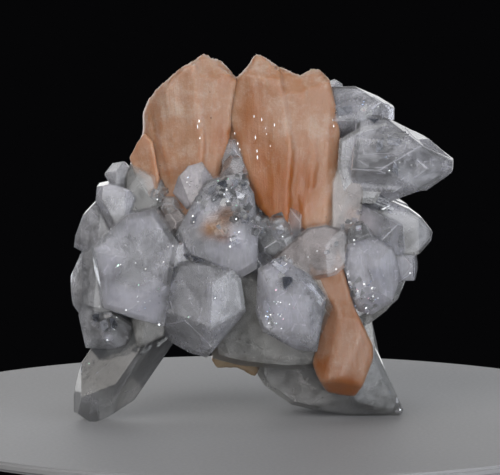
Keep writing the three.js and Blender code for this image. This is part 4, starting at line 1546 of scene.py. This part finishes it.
    def druse(self, rough: Mesh, trees: list[BVHTree], chance: Random) -> list[Convex]:
        """Makes the second crop of small crystals, in their zones and in the crevices behind.

        Args:
            rough: The large crystals, in the row frame.
            trees: Search trees of the pieces.
            chance: Source of the places, sizes and turns.

        Returns:
            The small crystals as bodies in the layout frame.
        """
        seeds: list[tuple[Vector, Vector, float]] = []
        made = []
        for zone in DRUSE:
            for _ in range(zone.count):
                hit = strike(
                    trees, zone.across + chance.uniform(-1, 1) * zone.spread,
                    zone.down + chance.uniform(-1, 1) * zone.spread,
                )
                if hit is None or hit[2] != 0:
                    continue
                if zone.broken:
                    name = "dark_chip" if chance.random() < zone.dark else "druse"
                    made.append(self.chip(name, hit[0], hit[1], chance.uniform(*zone.size), chance))
                else:
                    seeds.append((*hit[:2], chance.uniform(*zone.size)))
        shell = bmesh.new()
        shell.from_mesh(rough)
        behind, above = self.crevice_clear
        valleys = [
            edge for edge in shell.edges
            if edge.is_manifold and not edge.is_convex and edge.calc_length() > self.crevice_length * MM
            and edge.calc_face_angle(0) > self.crevice_angle and edge.verts[0].co.y > behind
            and edge.verts[0].co.z > above
        ]
        rearward, upward = self.crevice_facing
        for edge in chance.sample(valleys, min(len(valleys), self.crevice_seeds)):
            share = chance.random()
            spot = edge.verts[0].co.lerp(edge.verts[1].co, share)
            outward = (edge.link_faces[0].normal + edge.link_faces[1].normal).normalized()
            # None hangs under a low overhang, where it would look like a loose bead.
            if outward.y > rearward and (outward.z > upward or spot.z > self.overhang_clear):
                seeds.append((spot, outward, chance.uniform(*self.crevice_size)))
        shell.free()
        for spot, normal, size in seeds:
            axis = (normal + Vector(jitter(chance, 0.5))).normalized()
            tip = to_layout(spot + axis * size * MM * chance.uniform(0.7, 1.3), self.seat)
            form = Spear(
                tuple(tip), tuple(axis), turn=chance.uniform(0, 90), half=size * 0.6,
                cap=size * chance.uniform(0.2, 0.5), length=size * 2.6,
            )
            body = form.body("druse")
            if body.corners[:, 2].min() > 0.3:
                made.append(body)
        return made


@dataclass(frozen=True)
class Stria:
    """A set of parallel growth lines between two places on the image."""

    start: Pair
    end: Pair
    count: int = 4
    spacing: float = 0.55
    rise: float = 0.05


STRIAE: tuple[Stria, ...] = (
    Stria((381, 137), (409, 138), 5, 0.6),
    Stria((334, 111), (351, 109), 5, 0.55),
    Stria((271, 261), (288, 274), 4, 0.6),
    Stria((307, 284), (322, 303), 4, 0.5),
    Stria((366, 196), (392, 205), 3, 0.7),
)


@dataclass(frozen=True)
class DruseZone:
    """Where small crystals or broken chips lie close together, found by a place on the image."""

    across: float
    down: float
    spread: float  # pixels
    count: int
    size: Pair  # mm
    broken: bool = True  # chips, or else whole small crystals
    dark: float = 0.0  # share of the chips whose glass is darkened as painted shade


DRUSE: tuple[DruseZone, ...] = (
    DruseZone(232, 190, 14, 22, (1.2, 2.6), dark=0.4),
    DruseZone(240, 212, 9, 10, (1.0, 2.2), dark=0.4),
    DruseZone(208, 205, 9, 9, (0.8, 1.8)),
    DruseZone(219, 223, 9, 9, (1.4, 2.8)),
    DruseZone(233, 241, 5, 6, (0.7, 1.5)),
    DruseZone(280, 266, 9, 9, (0.8, 2.0)),
    DruseZone(275, 322, 7, 6, (0.6, 1.3)),
    DruseZone(352, 288, 8, 10, (0.8, 1.8)),
    DruseZone(368, 300, 8, 8, (0.7, 1.6)),
    DruseZone(104, 322, 10, 12, (0.8, 2.0), dark=0.3),
    DruseZone(366, 112, 6, 6, (0.8, 1.6)),
    DruseZone(262, 228, 9, 6, (1.0, 2.0), broken=False),
    DruseZone(268, 222, 12, 14, (1.0, 2.4)),
    DruseZone(286, 232, 6, 4, (0.8, 1.6), broken=False),
    DruseZone(354, 233, 8, 4, (0.7, 1.5), broken=False),
    DruseZone(352, 222, 10, 10, (0.8, 2.0)),
    DruseZone(330, 247, 8, 5, (0.6, 1.4)),
    DruseZone(158, 196, 5, 3, (0.8, 1.6), broken=False),
)


# ---- stilbite


@dataclass(frozen=True)
class Tint:
    """A round part of the stilbite that is deeper orange or paler, found by a place on the image."""

    across: float
    down: float
    radius: float
    amber_and_shade: float = 0.0
    bloom_and_highlight: float = 0.0


TINTS: tuple[Tint, ...] = (
    Tint(168, 95, 12.0, bloom_and_highlight=0.45),
    Tint(205, 66, 6.0, bloom_and_highlight=0.4),
    Tint(226, 140, 6.0, amber_and_shade=0.45),
    Tint(231, 160, 6.0, amber_and_shade=0.5),
    Tint(180, 150, 7.0, bloom_and_highlight=0.15),
    Tint(263, 68, 5.0, bloom_and_highlight=0.45),
    Tint(256, 100, 6.0, amber_and_shade=0.35),
    Tint(250, 125, 6.0, amber_and_shade=0.35),
    Tint(262, 150, 7.0, amber_and_shade=0.45),
    Tint(285, 115, 6.0, bloom_and_highlight=0.3),
    Tint(317, 78, 4.0, bloom_and_highlight=0.3),
    # painted highlight: a pale spot where the right sheaf shines
    Tint(320, 130, 4.5, bloom_and_highlight=0.3),
    Tint(288, 185, 11.0, amber_and_shade=0.8),
    Tint(275, 205, 8.0, amber_and_shade=0.7),
    Tint(334, 290, 7.0, amber_and_shade=0.15),
    Tint(340, 325, 8.0, amber_and_shade=0.15),
    # the next two are painted shade on the blade's downward bottom facet
    Tint(343, 390, 6.5, amber_and_shade=0.9),
    Tint(345, 378, 5.0, amber_and_shade=0.3),
    Tint(300, 190, 7.0, amber_and_shade=0.3),
    # the next two are painted shade low on the blade
    Tint(322, 385, 4.0, amber_and_shade=0.7),
    Tint(322, 365, 4.0, amber_and_shade=0.6),
    Tint(355, 350, 5.0, bloom_and_highlight=0.1),
)


@dataclass
class StilbiteBlade:
    """A bundle of stilbite blades that fan out from a root, rounded and ribbed from its solid."""

    node: str
    root: Pair  # x and z in the layout frame, where the fibres point back to
    voxel: float = 0.42  # mm
    rounding: int = 12  # rounds of smoothing
    swell: float = 0.16  # mm, evenly outward
    rib: float = 0.16  # mm, how high the broad ribs are
    fray: float = 1.0  # mm, the deepest notch in a blade's end
    towards: float = 0.0  # 1 or -1 where the right or left side leans on a neighbour
    amber_and_shade: float = 0.22
    bloom_and_highlight: float = 0.12
    lean: float = 0.95  # mm that the leaning side is moved out
    lean_reach: float = 3.5  # mm from the seam between the sheaves

    def fibres(self, points: np.ndarray) -> np.ndarray:
        """Measures places by the fibres of the blade.

        Args:
            points: Rows of x, y and z, in millimetres in the layout frame.

        Returns:
            How far each is across, behind and along the fibres, in millimetres.
        """
        run_x, run_z = points[:, 0] - self.root[0], points[:, 2] - self.root[1]
        along = np.hypot(run_x, run_z)
        across = np.arctan2(run_x, np.abs(run_z)) * float(along.mean())
        return np.stack((across, points[:, 1], along), axis=1)

    def build(self, seat: np.ndarray, finish: Material) -> tuple[Object, BVHTree]:
        """Makes the finished piece.

        Args:
            seat: From the layout frame to the row frame, in millimetres.
            finish: The stilbite's material.

        Returns:
            The piece and its search tree, in the row frame.
        """
        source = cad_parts[self.node]
        block = in_scene(f"{self.node}_block", source.data.copy())
        skin = block.modifiers.new("skin", "REMESH")
        skin.mode = "VOXEL"
        skin.voxel_size = self.voxel * MM
        soften = block.modifiers.new("soften", "SMOOTH")
        soften.factor = 0.5
        soften.iterations = self.rounding
        evaluated = block.evaluated_get(bpy.context.evaluated_depsgraph_get())
        mesh = bpy.data.meshes.new_from_object(evaluated)
        bpy.data.objects.remove(block)
        points = to_layout(points_of(mesh), seat)
        normals = np.empty(len(mesh.vertices) * 3)
        mesh.vertices.foreach_get("normal", normals)
        normals = normals.reshape(-1, 3)
        fibre = self.fibres(points)
        ribs = np.array([
            self.rib * (
                noise.noise((a / 2.4, y / 4, r / 12))  # broad ribs
                + 0.3 * noise.noise((a / 0.8, y / 2, r / 7))  # threads
                + 0.9 * noise.noise((a / 2.2, y / 2.2, r / 3.4))  # uneven growth along them
            )
            for a, y, r in fibre
        ])
        leaning = np.clip(normals[:, 0] * self.towards, 0, 1)
        leaning = leaning * soft_step(np.abs(points[:, 0] - SHEAF_SEAM), self.lean_reach)
        points += normals * (self.swell + ribs + self.lean * leaning)[:, None]
        outward = (points - (self.root[0], 0, self.root[1])) * (1, 0, 1)
        outward /= np.linalg.norm(outward, axis=1)[:, None]
        at_tip = np.clip(np.einsum("ij,ij->i", normals, outward), 0, 1)
        frays = np.array([abs(noise.noise((a / 0.7, y / 1.1, 7.0))) ** 0.7 for a, y, _ in fibre])
        points -= outward * (at_tip * frays * self.fray)[:, None]
        low, high = (to_layout(corner, seat) for corner in CAD_BOX)
        points = np.clip(points, low + BOX_MARGIN / MM, high - BOX_MARGIN / MM)
        set_points(mesh, to_row(points, seat))
        mesh.polygons.foreach_set("use_smooth", [True] * len(mesh.polygons))
        layer = mesh.attributes.new("fibre", "FLOAT_VECTOR", "POINT")
        layer.data.foreach_set("vector", fibre.astype(np.float32).ravel())
        self.tint(mesh, points, seat)
        piece = place_mesh(mesh, self.node.replace("stilbite_", "stilbite_grown_"), [finish])
        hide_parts(self.node)
        log.info("%s: %d faces", piece.name, len(mesh.polygons))
        return piece, tree_of(mesh)

    def tint(self, mesh: Mesh, points: np.ndarray, seat: np.ndarray) -> None:
        """Writes how orange, partly painted shade, and how pale, partly painted highlight, each vertex is.

        Args:
            mesh: The blade's mesh, in the row frame.
            points: Its vertices, in the layout frame.
            seat: From the layout frame to the row frame, in millimetres.
        """
        own = [tree_of(mesh)]
        amber_and_shade = np.full(len(points), self.amber_and_shade)
        bloom_and_highlight = np.full(len(points), self.bloom_and_highlight)
        for tint in TINTS:
            hit = strike(own, tint.across, tint.down)
            if hit is None:
                continue
            away = np.linalg.norm(points - to_layout(hit[0], seat), axis=1)
            weight = soft_step(away, tint.radius)
            amber_and_shade += weight * tint.amber_and_shade
            bloom_and_highlight += weight * tint.bloom_and_highlight
        set_layer(mesh, "amber_and_shade", "POINT", amber_and_shade)
        set_layer(mesh, "bloom_and_highlight", "POINT", bloom_and_highlight)


STILBITE: tuple[StilbiteBlade, ...] = (
    StilbiteBlade("stilbite_left_sheaf", (-15, 5), towards=1),
    StilbiteBlade("stilbite_right_sheaf", (3, 0), towards=-1),
    StilbiteBlade("stilbite_lower_blade", (14, 62), voxel=0.3, rounding=36, swell=0.36, rib=0.1, fray=0.1),
    StilbiteBlade("stilbite_side_blade", (-19, 20), voxel=0.25, rounding=3, rib=0.08, fray=0.1),
    StilbiteBlade("stilbite_under_plate", (-4, 50), voxel=0.3, rounding=4, rib=0.1, fray=0.2),
)


# ---- glints, painted glint and shade patches, and specks


class Flash(Enum):
    """The colours that a broken edge throws back."""

    WHITE = "#F7F9FC"
    GREEN = "#C4F0DD"
    PINK = "#F1CDE0"
    BLUE = "#BFD2F4"


GLINTS: tuple[Triple, ...] = (  # across, down, width in mm
    (118, 265.5, 0.75), (116, 267, 0.4), (120.5, 264.5, 0.4), (135.6, 263, 0.45), (163.6, 262, 0.4),
    (173, 246, 0.4), (168, 247, 0.3), (107.4, 339.5, 0.8), (111, 229, 0.35), (99, 306.5, 0.4),
    (159, 324.5, 0.6), (126, 310, 0.6), (215, 298, 0.6), (188.5, 317, 0.5), (157, 199.5, 0.7),
    (160, 201, 0.4), (198, 202, 0.7), (193, 216, 0.8), (194, 222, 0.5), (210, 174, 0.5),
    (228, 201, 0.5), (236, 219, 0.6), (231, 240, 0.8), (230, 246.5, 0.7), (239, 232, 0.6),
    (218, 181, 0.5), (228, 179, 0.6), (276, 290, 0.6), (266, 316, 0.6), (269, 323, 0.5),
    (281, 266, 0.6), (348, 274, 0.5), (349, 282, 0.5), (358, 291, 0.5), (364, 284, 0.7),
    (372, 288, 0.6), (373, 296, 0.6), (378, 298, 0.5), (368, 313, 0.7), (366, 308, 0.6),
    (355, 306, 0.6), (360, 229, 0.7), (351, 223, 0.5), (354, 240, 0.6), (354.4, 244, 0.5),
    (398, 207, 0.8), (394, 208.5, 0.6), (387, 209.6, 0.5), (410, 203, 0.5), (410, 273, 0.5),
    (336, 269, 0.4), (400, 410, 0.5), (398, 398, 0.5), (283, 236, 0.6), (289, 223, 0.5),
    (261, 211, 0.6), (256, 206, 0.5), (317, 251, 0.4), (308, 257, 0.4), (285, 256, 0.5),
    (254, 116.4, 0.4), (261.6, 119.6, 0.5), (274.4, 125, 0.5), (255.4, 137.4, 0.6), (257, 151, 0.5),
    (257.4, 157.4, 0.6), (265.6, 128.6, 0.3), (266.6, 134, 0.3), (270.4, 146, 0.3), (199, 121, 0.4),
    (197.6, 126.6, 0.6), (200, 138, 0.4), (235, 133, 0.5), (238, 143, 0.6), (240, 149, 0.5),
    (332.6, 120, 0.5), (333.6, 126, 0.4), (366, 105, 0.4), (370, 106, 0.5), (378, 106.6, 0.5),
    (337, 111, 0.5), (345, 110, 0.5), (340, 117, 0.4), (409, 141, 0.4), (411, 165, 0.4),
    (381, 145, 0.3), (396, 158, 0.5),
)

COLOURED: dict[Pair, Flash] = {  # the glints that are not white
    (118, 265.5): Flash.GREEN, (188.5, 317): Flash.GREEN, (218, 181): Flash.GREEN, (228, 179): Flash.GREEN,
    (276, 290): Flash.PINK, (360, 229): Flash.PINK,
    (281, 266): Flash.BLUE, (355, 306): Flash.BLUE,
}

GLINT_CLOUDS: tuple[tuple[float, float, float, int], ...] = (  # across, down, spread, count
    (281, 314, 15, 40), (280, 267, 8, 12), (365, 293, 14, 26), (226, 196, 14, 26), (192, 184, 10, 14),
    (354, 234, 9, 12), (366, 106, 9, 8), (392, 162, 12, 12), (386, 388, 13, 10), (140, 307, 13, 12),
    (236, 238, 6, 10), (110, 322, 10, 8), (262, 228, 9, 10), (150, 280, 14, 8), (96, 372, 12, 6),
)

# dark specks; the six from (185, 255) to (201, 262) lie along a crevice as painted shade
SPECKS_AND_CREVICE_SHADE: tuple[Pair, ...] = (
    (160, 166), (159, 175), (151, 172), (168, 192), (163, 200), (159, 303), (176, 282), (254, 223),
    (260, 229), (260, 207), (180, 242), (240, 339), (268, 260), (258, 274), (322, 276), (326, 217),
    (185, 255), (188, 257), (191, 259), (195, 261), (198, 262), (201, 262), (159, 296), (210, 92),
    (211, 118), (221, 166), (243, 171), (331, 246), (313, 330), (361, 203), (290, 268), (296, 275),
)


class Patch(Enum):
    """What shows in a flat-sided patch of a crystal's skin: painted glints, painted shade and grey
    between.
    """

    BRIGHT = PaintedPatch("broken_face_bright", "#DFE1EA", clear=0.4)
    GREY = PaintedPatch("painted_grey_patch", "#B4B7C0", clear=0.45)
    DARK = PaintedPatch("painted_shade_patch", "#767A84", clear=0.6)


# outlines of the painted glint, grey and shade patches, as places on the image
PATCHES: dict[Patch, tuple[tuple[Pair, ...], ...]] = {
    Patch.BRIGHT: (
        ((157, 321), (160, 321.5), (160, 327)), ((105.4, 336), (109, 335), (109, 340.6), (106, 341)),
        ((198, 348), (209, 353), (209, 355.6), (202, 354)),
        ((236, 191), (245, 194), (243, 200), (237, 198)),
        ((226, 190), (233, 195), (229, 200), (223, 196)),
        ((205, 176), (211, 172), (212, 178), (208, 183)),
        ((230, 239), (240, 235), (240, 243), (232, 247)),
        ((193, 207), (198, 204), (199, 211), (194, 215)),
        ((271, 263), (282, 259), (289, 269), (283, 274)),
        ((305, 284), (311, 283), (324, 301), (322, 305)),
        ((385, 207), (411, 199), (409, 203), (388, 209.6)),
        ((356, 226), (361.6, 225), (361, 230), (356, 231)),
        ((346, 272), (349, 270), (350, 277), (347.6, 279)),
        ((348, 281), (350.6, 281), (352.6, 287), (350, 288.6)),
        ((356, 293), (359, 291.6), (360, 297), (357, 298.6)),
        ((363, 281), (366, 281), (366, 287), (363.6, 287.6)), ((372, 286), (376, 287.6), (374, 290)),
        ((366, 306), (369.6, 311), (367, 315), (364.4, 311)),
        ((395.6, 398), (397.6, 396), (398.4, 401.6), (396.4, 403.6)),
        ((398.6, 408), (401.6, 409), (400, 411.4)), ((276, 228), (282, 225), (285, 231), (279, 235)),
        ((253, 203), (257, 200), (258, 208), (254, 211)),
    ),
    Patch.GREY: (
        ((99, 322), (106, 319), (108, 327), (103, 332)), ((213, 295), (218, 297), (214, 301)),
        ((231, 180), (239, 178), (238, 185), (233, 188)),
        ((209, 187), (216, 185), (214, 192), (208, 194)),
        ((216, 226), (219, 224), (226, 235), (223, 237)),
        ((192, 217), (197, 216), (195, 223), (191, 223)),
        ((262, 301), (268, 298), (271, 312), (265, 317)),
        ((337, 108), (351, 105), (352, 112), (339, 116)),
        ((394, 161), (398, 166), (398, 176), (392, 170)),
        ((377, 141), (384, 138), (382, 149), (376, 152)),
        ((388, 136), (400, 139), (398, 146), (387, 144)),
        ((369, 270), (381, 266), (384, 278), (373, 281)),
        ((356, 385), (363, 381), (366, 387), (359, 392)),
    ),
    Patch.DARK: (
        ((92, 315), (99, 314), (98, 321), (94, 323)),
        ((109, 317), (115, 319), (117.6, 326), (112, 329), (110, 324)),
        ((217, 183), (225, 179.6), (228, 186), (222, 190)),
        ((241, 179), (247, 183), (246, 190), (241, 188)),
        ((216, 193), (220, 197), (213, 203), (210, 199)),
        ((240, 218), (250, 216), (248, 223), (243, 224)),
        # this one is painted shade in the crevice between two crystals
        ((183, 254), (190, 255), (205, 261), (196, 262.6), (186, 258.6)),
        ((282, 277), (291, 276.6), (293, 281), (284, 290)), ((369, 118.6), (379, 119), (374, 123)),
    ),
}


@dataclass
class SkinDetail:
    """Small things on the crystals: bright broken flakes, painted glint and shade patches, dark specks."""

    trees: list[BVHTree]
    hidden_flakes: int = 150
    hidden_specks: int = 60
    cloud_colours: tuple[int, ...] = (0, 0, 0, 0, 0, 1, 2, 3)  # numbers in Flash, mostly white
    hidden_colours: tuple[int, ...] = (0, 0, 0, 1, 2, 3)
    glint_size: float = 0.8  # share of the width in the table
    cloud_share: float = 0.8  # share of the count in the table
    cloud_widths: Pair = (0.12, 0.42)  # mm
    hidden_widths: Pair = (0.2, 0.6)
    flake_depths: Pair = (-0.04, 0.06)  # mm below and above the skin
    patch_depths: Pair = (-0.3, 0.03)

    def flake(
        self, shell: BMesh, spot: Vector, facing: Vector, size: float, colour: int,
        chance: Random, long: bool = False,
    ) -> None:
        """Adds one thin irregular flake that lies in the skin.

        Args:
            shell: The mesh that gets it.
            spot: Its place, in metres.
            facing: The way it faces.
            size: How wide it is, in millimetres.
            colour: Which material it has.
            chance: Source of its outline and tilt.
            long: Whether it is drawn out upright, along the fibres of a blade.
        """
        facing = (facing + Vector(jitter(chance, 0.15))).normalized()
        side = facing.orthogonal().normalized()
        sides = chance.choice((4, 5, 6))
        turn = chance.uniform(0, math.tau)
        stretch = chance.uniform(0.5, 1.0)
        if long:
            side = (Vector((0, 0, 1)) - facing * facing.z).normalized()
            sides, turn = 4, chance.uniform(-0.2, 0.2)
            stretch, size = chance.uniform(0.2, 0.4), size * 2.2
        other = facing.cross(side)
        rings = []
        for height in self.flake_depths:
            ring = []
            for index in range(sides):
                angle = turn + math.tau * index / sides
                reach = size / 2
                offset = side * math.cos(angle) * reach + other * math.sin(angle) * reach * stretch
                ring.append(shell.verts.new(spot + (offset + facing * height) * MM))
            rings.append(ring)
        close_rings(shell, rings, colour)

    @staticmethod
    def glare(spot: Vector, normal: Vector) -> Vector:
        """Returns the way a flake faces that throws the nearest softbox at the viewpoint.

        Args:
            spot: The flake's place, in metres.
            normal: The skin's outward normal there, which picks one of the first four softboxes.

        Returns:
            A unit direction.
        """
        to_eye = (VIEW.eye - spot).normalized()
        to_boxes = [(Vector(box.place) - spot).normalized() for box in Studio().boxes[:4]]
        halves = [(to_eye + to_box).normalized() for to_box in to_boxes]
        return max(halves, key=lambda half: half.dot(normal))

    def flakes(self, skin: Object) -> Object:
        """Makes all the bright flakes as one piece.

        Args:
            skin: The apophyllite, for the flakes that are not seen from the front.

        Returns:
            The piece.
        """
        chance = Random(SEED + 2)
        colours = list(Flash)
        shell = bmesh.new()
        for across, down, size in GLINTS:
            hit = strike(self.trees, across, down)
            if hit is not None:
                colour = colours.index(COLOURED.get((across, down), Flash.WHITE))
                facing = self.glare(*hit[:2])
                self.flake(shell, hit[0], facing, self.glint_size * size, colour, chance, hit[2] > 0)
        for across, down, spread, count in GLINT_CLOUDS:
            for _ in range(int(count * self.cloud_share)):
                reach, angle = spread * math.sqrt(chance.random()), chance.uniform(0, math.tau)
                hit = strike(self.trees, across + reach * math.cos(angle), down + reach * math.sin(angle))
                colour = chance.choice(self.cloud_colours)
                if hit is not None and hit[2] == 0:
                    facing = self.glare(*hit[:2]) + Vector(jitter(chance, 0.4))
                    size = chance.uniform(*self.cloud_widths)
                    self.flake(shell, hit[0], facing, size, colour, chance)
        for spot, normal in self.scattered(skin, self.hidden_flakes, chance):
            size, colour = chance.uniform(*self.hidden_widths), chance.choice(self.hidden_colours)
            self.flake(shell, spot, normal, size, colour, chance)
        cracks = [MirrorCrack(f"mirror_crack_{flash.name.lower()}", flash.value) for flash in colours]
        mesh = baked(shell, "broken_flakes")
        return place_mesh(mesh, "broken_flakes", [crack.material() for crack in cracks])

    def patches(self) -> Object:
        """Makes the flat-sided patches, painted glints and shade, as one piece, a hair proud of their
        skin.

        Returns:
            The piece.
        """
        shell = bmesh.new()
        for colour, outlines in enumerate(PATCHES.values()):
            for places in outlines:
                hits = [strike(self.trees, *place) for place in places]
                if None in hits or len({hit[2] for hit in hits}) > 1:
                    continue
                rings = [
                    [shell.verts.new(hit[0] + hit[1] * height * MM) for hit in hits]
                    for height in self.patch_depths
                ]
                close_rings(shell, rings, colour)
        bmesh.ops.recalc_face_normals(shell, faces=shell.faces)
        bmesh.ops.triangulate(shell, faces=shell.faces)
        mesh = baked(shell, "broken_faces")
        return place_mesh(mesh, "broken_faces", [kind.value.material() for kind in PATCHES])

    def scattered(self, skin: Object, count: int, chance: Random) -> list[tuple[Vector, Vector]]:
        """Picks places on the sides and rear of the crystals.

        Args:
            skin: The apophyllite.
            count: How many places.
            chance: Source of the choice.

        Returns:
            Pairs of a place and the outward normal there.
        """
        faces = [
            face for face in skin.data.polygons
            if face.center.y > 0 and face.center.z > 0.004 and face.area > 0.2 * MM * MM
        ]
        chosen = chance.sample(faces, min(count, len(faces)))
        return [(face.center.copy(), face.normal.copy()) for face in chosen]

    def specks(self, skin: Object) -> Object:
        """Makes all the dark specks, the painted crevice shade among them, as one piece.

        Args:
            skin: The apophyllite, for the specks that are not seen from the front.

        Returns:
            The piece.
        """
        chance = Random(SEED + 3)
        hits = [strike(self.trees, *place) for place in SPECKS_AND_CREVICE_SHADE]
        places = [hit[:2] for hit in hits if hit is not None]
        places += self.scattered(skin, self.hidden_specks, chance)
        shell = bmesh.new()
        for spot, _ in places:
            size = chance.uniform(0.09, 0.2) * MM
            turn = Matrix.Rotation(chance.uniform(0, math.tau), 4, Vector((1, 1, 0)))
            longer, lower = chance.uniform(0.8, 1.6), chance.uniform(0.7, 1.1)
            grow = Matrix.Diagonal((size * longer, size, size * lower, 1))
            lump = bmesh.ops.create_icosphere(
                shell, subdivisions=1, radius=1.0, matrix=Matrix.Translation(spot) @ turn @ grow,
            )
            for vertex in lump["verts"]:
                vertex.co += Vector([size * move for move in jitter(chance, 0.25)])
        mesh = baked(shell, "oxide_and_crevice_shade_specks")
        return place_mesh(mesh, "oxide_and_crevice_shade_specks", [IronOxideAndCreviceShade().material()])


# ---- studio


LAMP_TARGET = (0, 0, 0.04)  # metres, the middle of the cluster


@dataclass(frozen=True)
class SoftBox:
    """A square soft light that points at the cluster."""

    name: str
    place: Triple  # metres
    size: float
    watts: float
    tint: str = "#FFFFFF"

    def build(self) -> None:
        """Puts the light in the scene."""
        data = bpy.data.lights.new(self.name, "AREA")
        data.shape = "SQUARE"
        data.size = self.size
        data.energy = self.watts
        data.color = linear(self.tint)[:3]
        lamp = in_scene(self.name, data)
        lamp.location = self.place
        aim = Vector(LAMP_TARGET) - Vector(self.place)
        lamp.rotation_euler = aim.to_track_quat("-Z", "Y").to_euler()


@dataclass(frozen=True)
class Studio:
    """Floor, surroundings, soft lights and camera."""

    floor_radius: float = 0.085  # metres, as all its sizes
    floor_thickness: float = 0.002
    floor_bevel: float = 0.0006
    clip: Pair = (0.01, 10.0)
    surroundings: str = "#060607"
    boxes: tuple[SoftBox, ...] = (
        SoftBox("key_box", (-0.32, -0.46, 0.40), 0.50, 1.75, "#FFFAF4"),
        SoftBox("front_box", (0.12, -0.80, 0.17), 0.66, 2.2),
        SoftBox("low_box", (0.34, -0.62, -0.12), 0.30, 0.9),
        SoftBox("top_box", (0.02, 0.06, 0.62), 0.40, 0.6),
        SoftBox("right_box", (0.50, -0.34, 0.20), 0.45, 1.25, "#F4F8FF"),
        SoftBox("back_box", (-0.10, 0.75, 0.30), 0.90, 2.9),
        SoftBox("rim_box", (-0.46, 0.34, 0.04), 0.30, 0.9, "#F4F8FF"),
    )

    def build(self) -> None:
        """Builds everything round the cluster."""
        self.floor()
        self.air()
        for box in self.boxes:
            box.build()
        self.camera()

    def floor(self) -> None:
        """Makes the round pale board that the cluster stands on."""
        shell = bmesh.new()
        bmesh.ops.create_cone(
            shell, cap_ends=True, segments=128, radius1=self.floor_radius, radius2=self.floor_radius,
            depth=self.floor_thickness, matrix=Matrix.Translation((0, 0, -self.floor_thickness / 2)),
        )
        rims = [edge for edge in shell.edges if edge.calc_face_angle(0) > math.radians(60)]
        bmesh.ops.bevel(shell, geom=rims, offset=self.floor_bevel, segments=3, affect="EDGES")
        mesh = baked(shell, "floor_board")
        mesh.materials.append(MattBoard().material())
        board = in_scene("floor_board", mesh)

    def air(self) -> None:
        """Sets the dim even surroundings."""
        world = bpy.data.worlds.new("studio")
        world.use_nodes = True
        world.node_tree.nodes["Background"].inputs["Color"].default_value = linear(self.surroundings)
        bpy.context.scene.world = world

    def camera(self) -> None:
        """Sets up the camera at the viewpoint."""
        data = bpy.data.cameras.new("camera")
        data.sensor_width = 36.0
        data.lens = data.sensor_width * VIEW.distance / VIEW.width
        data.clip_start, data.clip_end = self.clip
        eye = in_scene("camera", data)
        eye.location = VIEW.eye
        eye.rotation_euler = VIEW.forward.to_track_quat("-Z", "Y").to_euler()
        bpy.context.scene.camera = eye
        bpy.context.scene.view_settings.view_transform = "Standard"


def main() -> None:
    """Builds the pieces in order and reports each one."""
    logging.basicConfig(level=logging.INFO, format="%(name)s: %(message)s")
    cluster = ApophylliteCluster()
    cluster.lay_out()
    finish = GrownStilbite().material()
    special = {
        "stilbite_lower_blade": GrownStilbite("deep_stilbite", "#A27A60", "#8E5426", "#B29A8B").material(),
        "stilbite_under_plate": GrownStilbite("dull_stilbite", "#8F7D66", "#7C5F3C", "#A2957F").material(),
    }
    stilbite = [blade.build(cluster.seat, special.get(blade.node, finish)) for blade in STILBITE]
    skin, skin_tree = cluster.build([tree for _, tree in stilbite])
    veils = cluster.veils()
    detail = SkinDetail([skin_tree, *(tree for _, tree in stilbite)])
    patches = detail.patches()
    flakes = detail.flakes(skin)
    specks = detail.specks(skin)
    for piece in (skin, veils, patches, flakes, specks, *(piece for piece, _ in stilbite)):
        log.info("%s stands in place with %d faces", piece.name, len(piece.data.polygons))
    Studio().build()


if __name__ == "__main__":
    main()
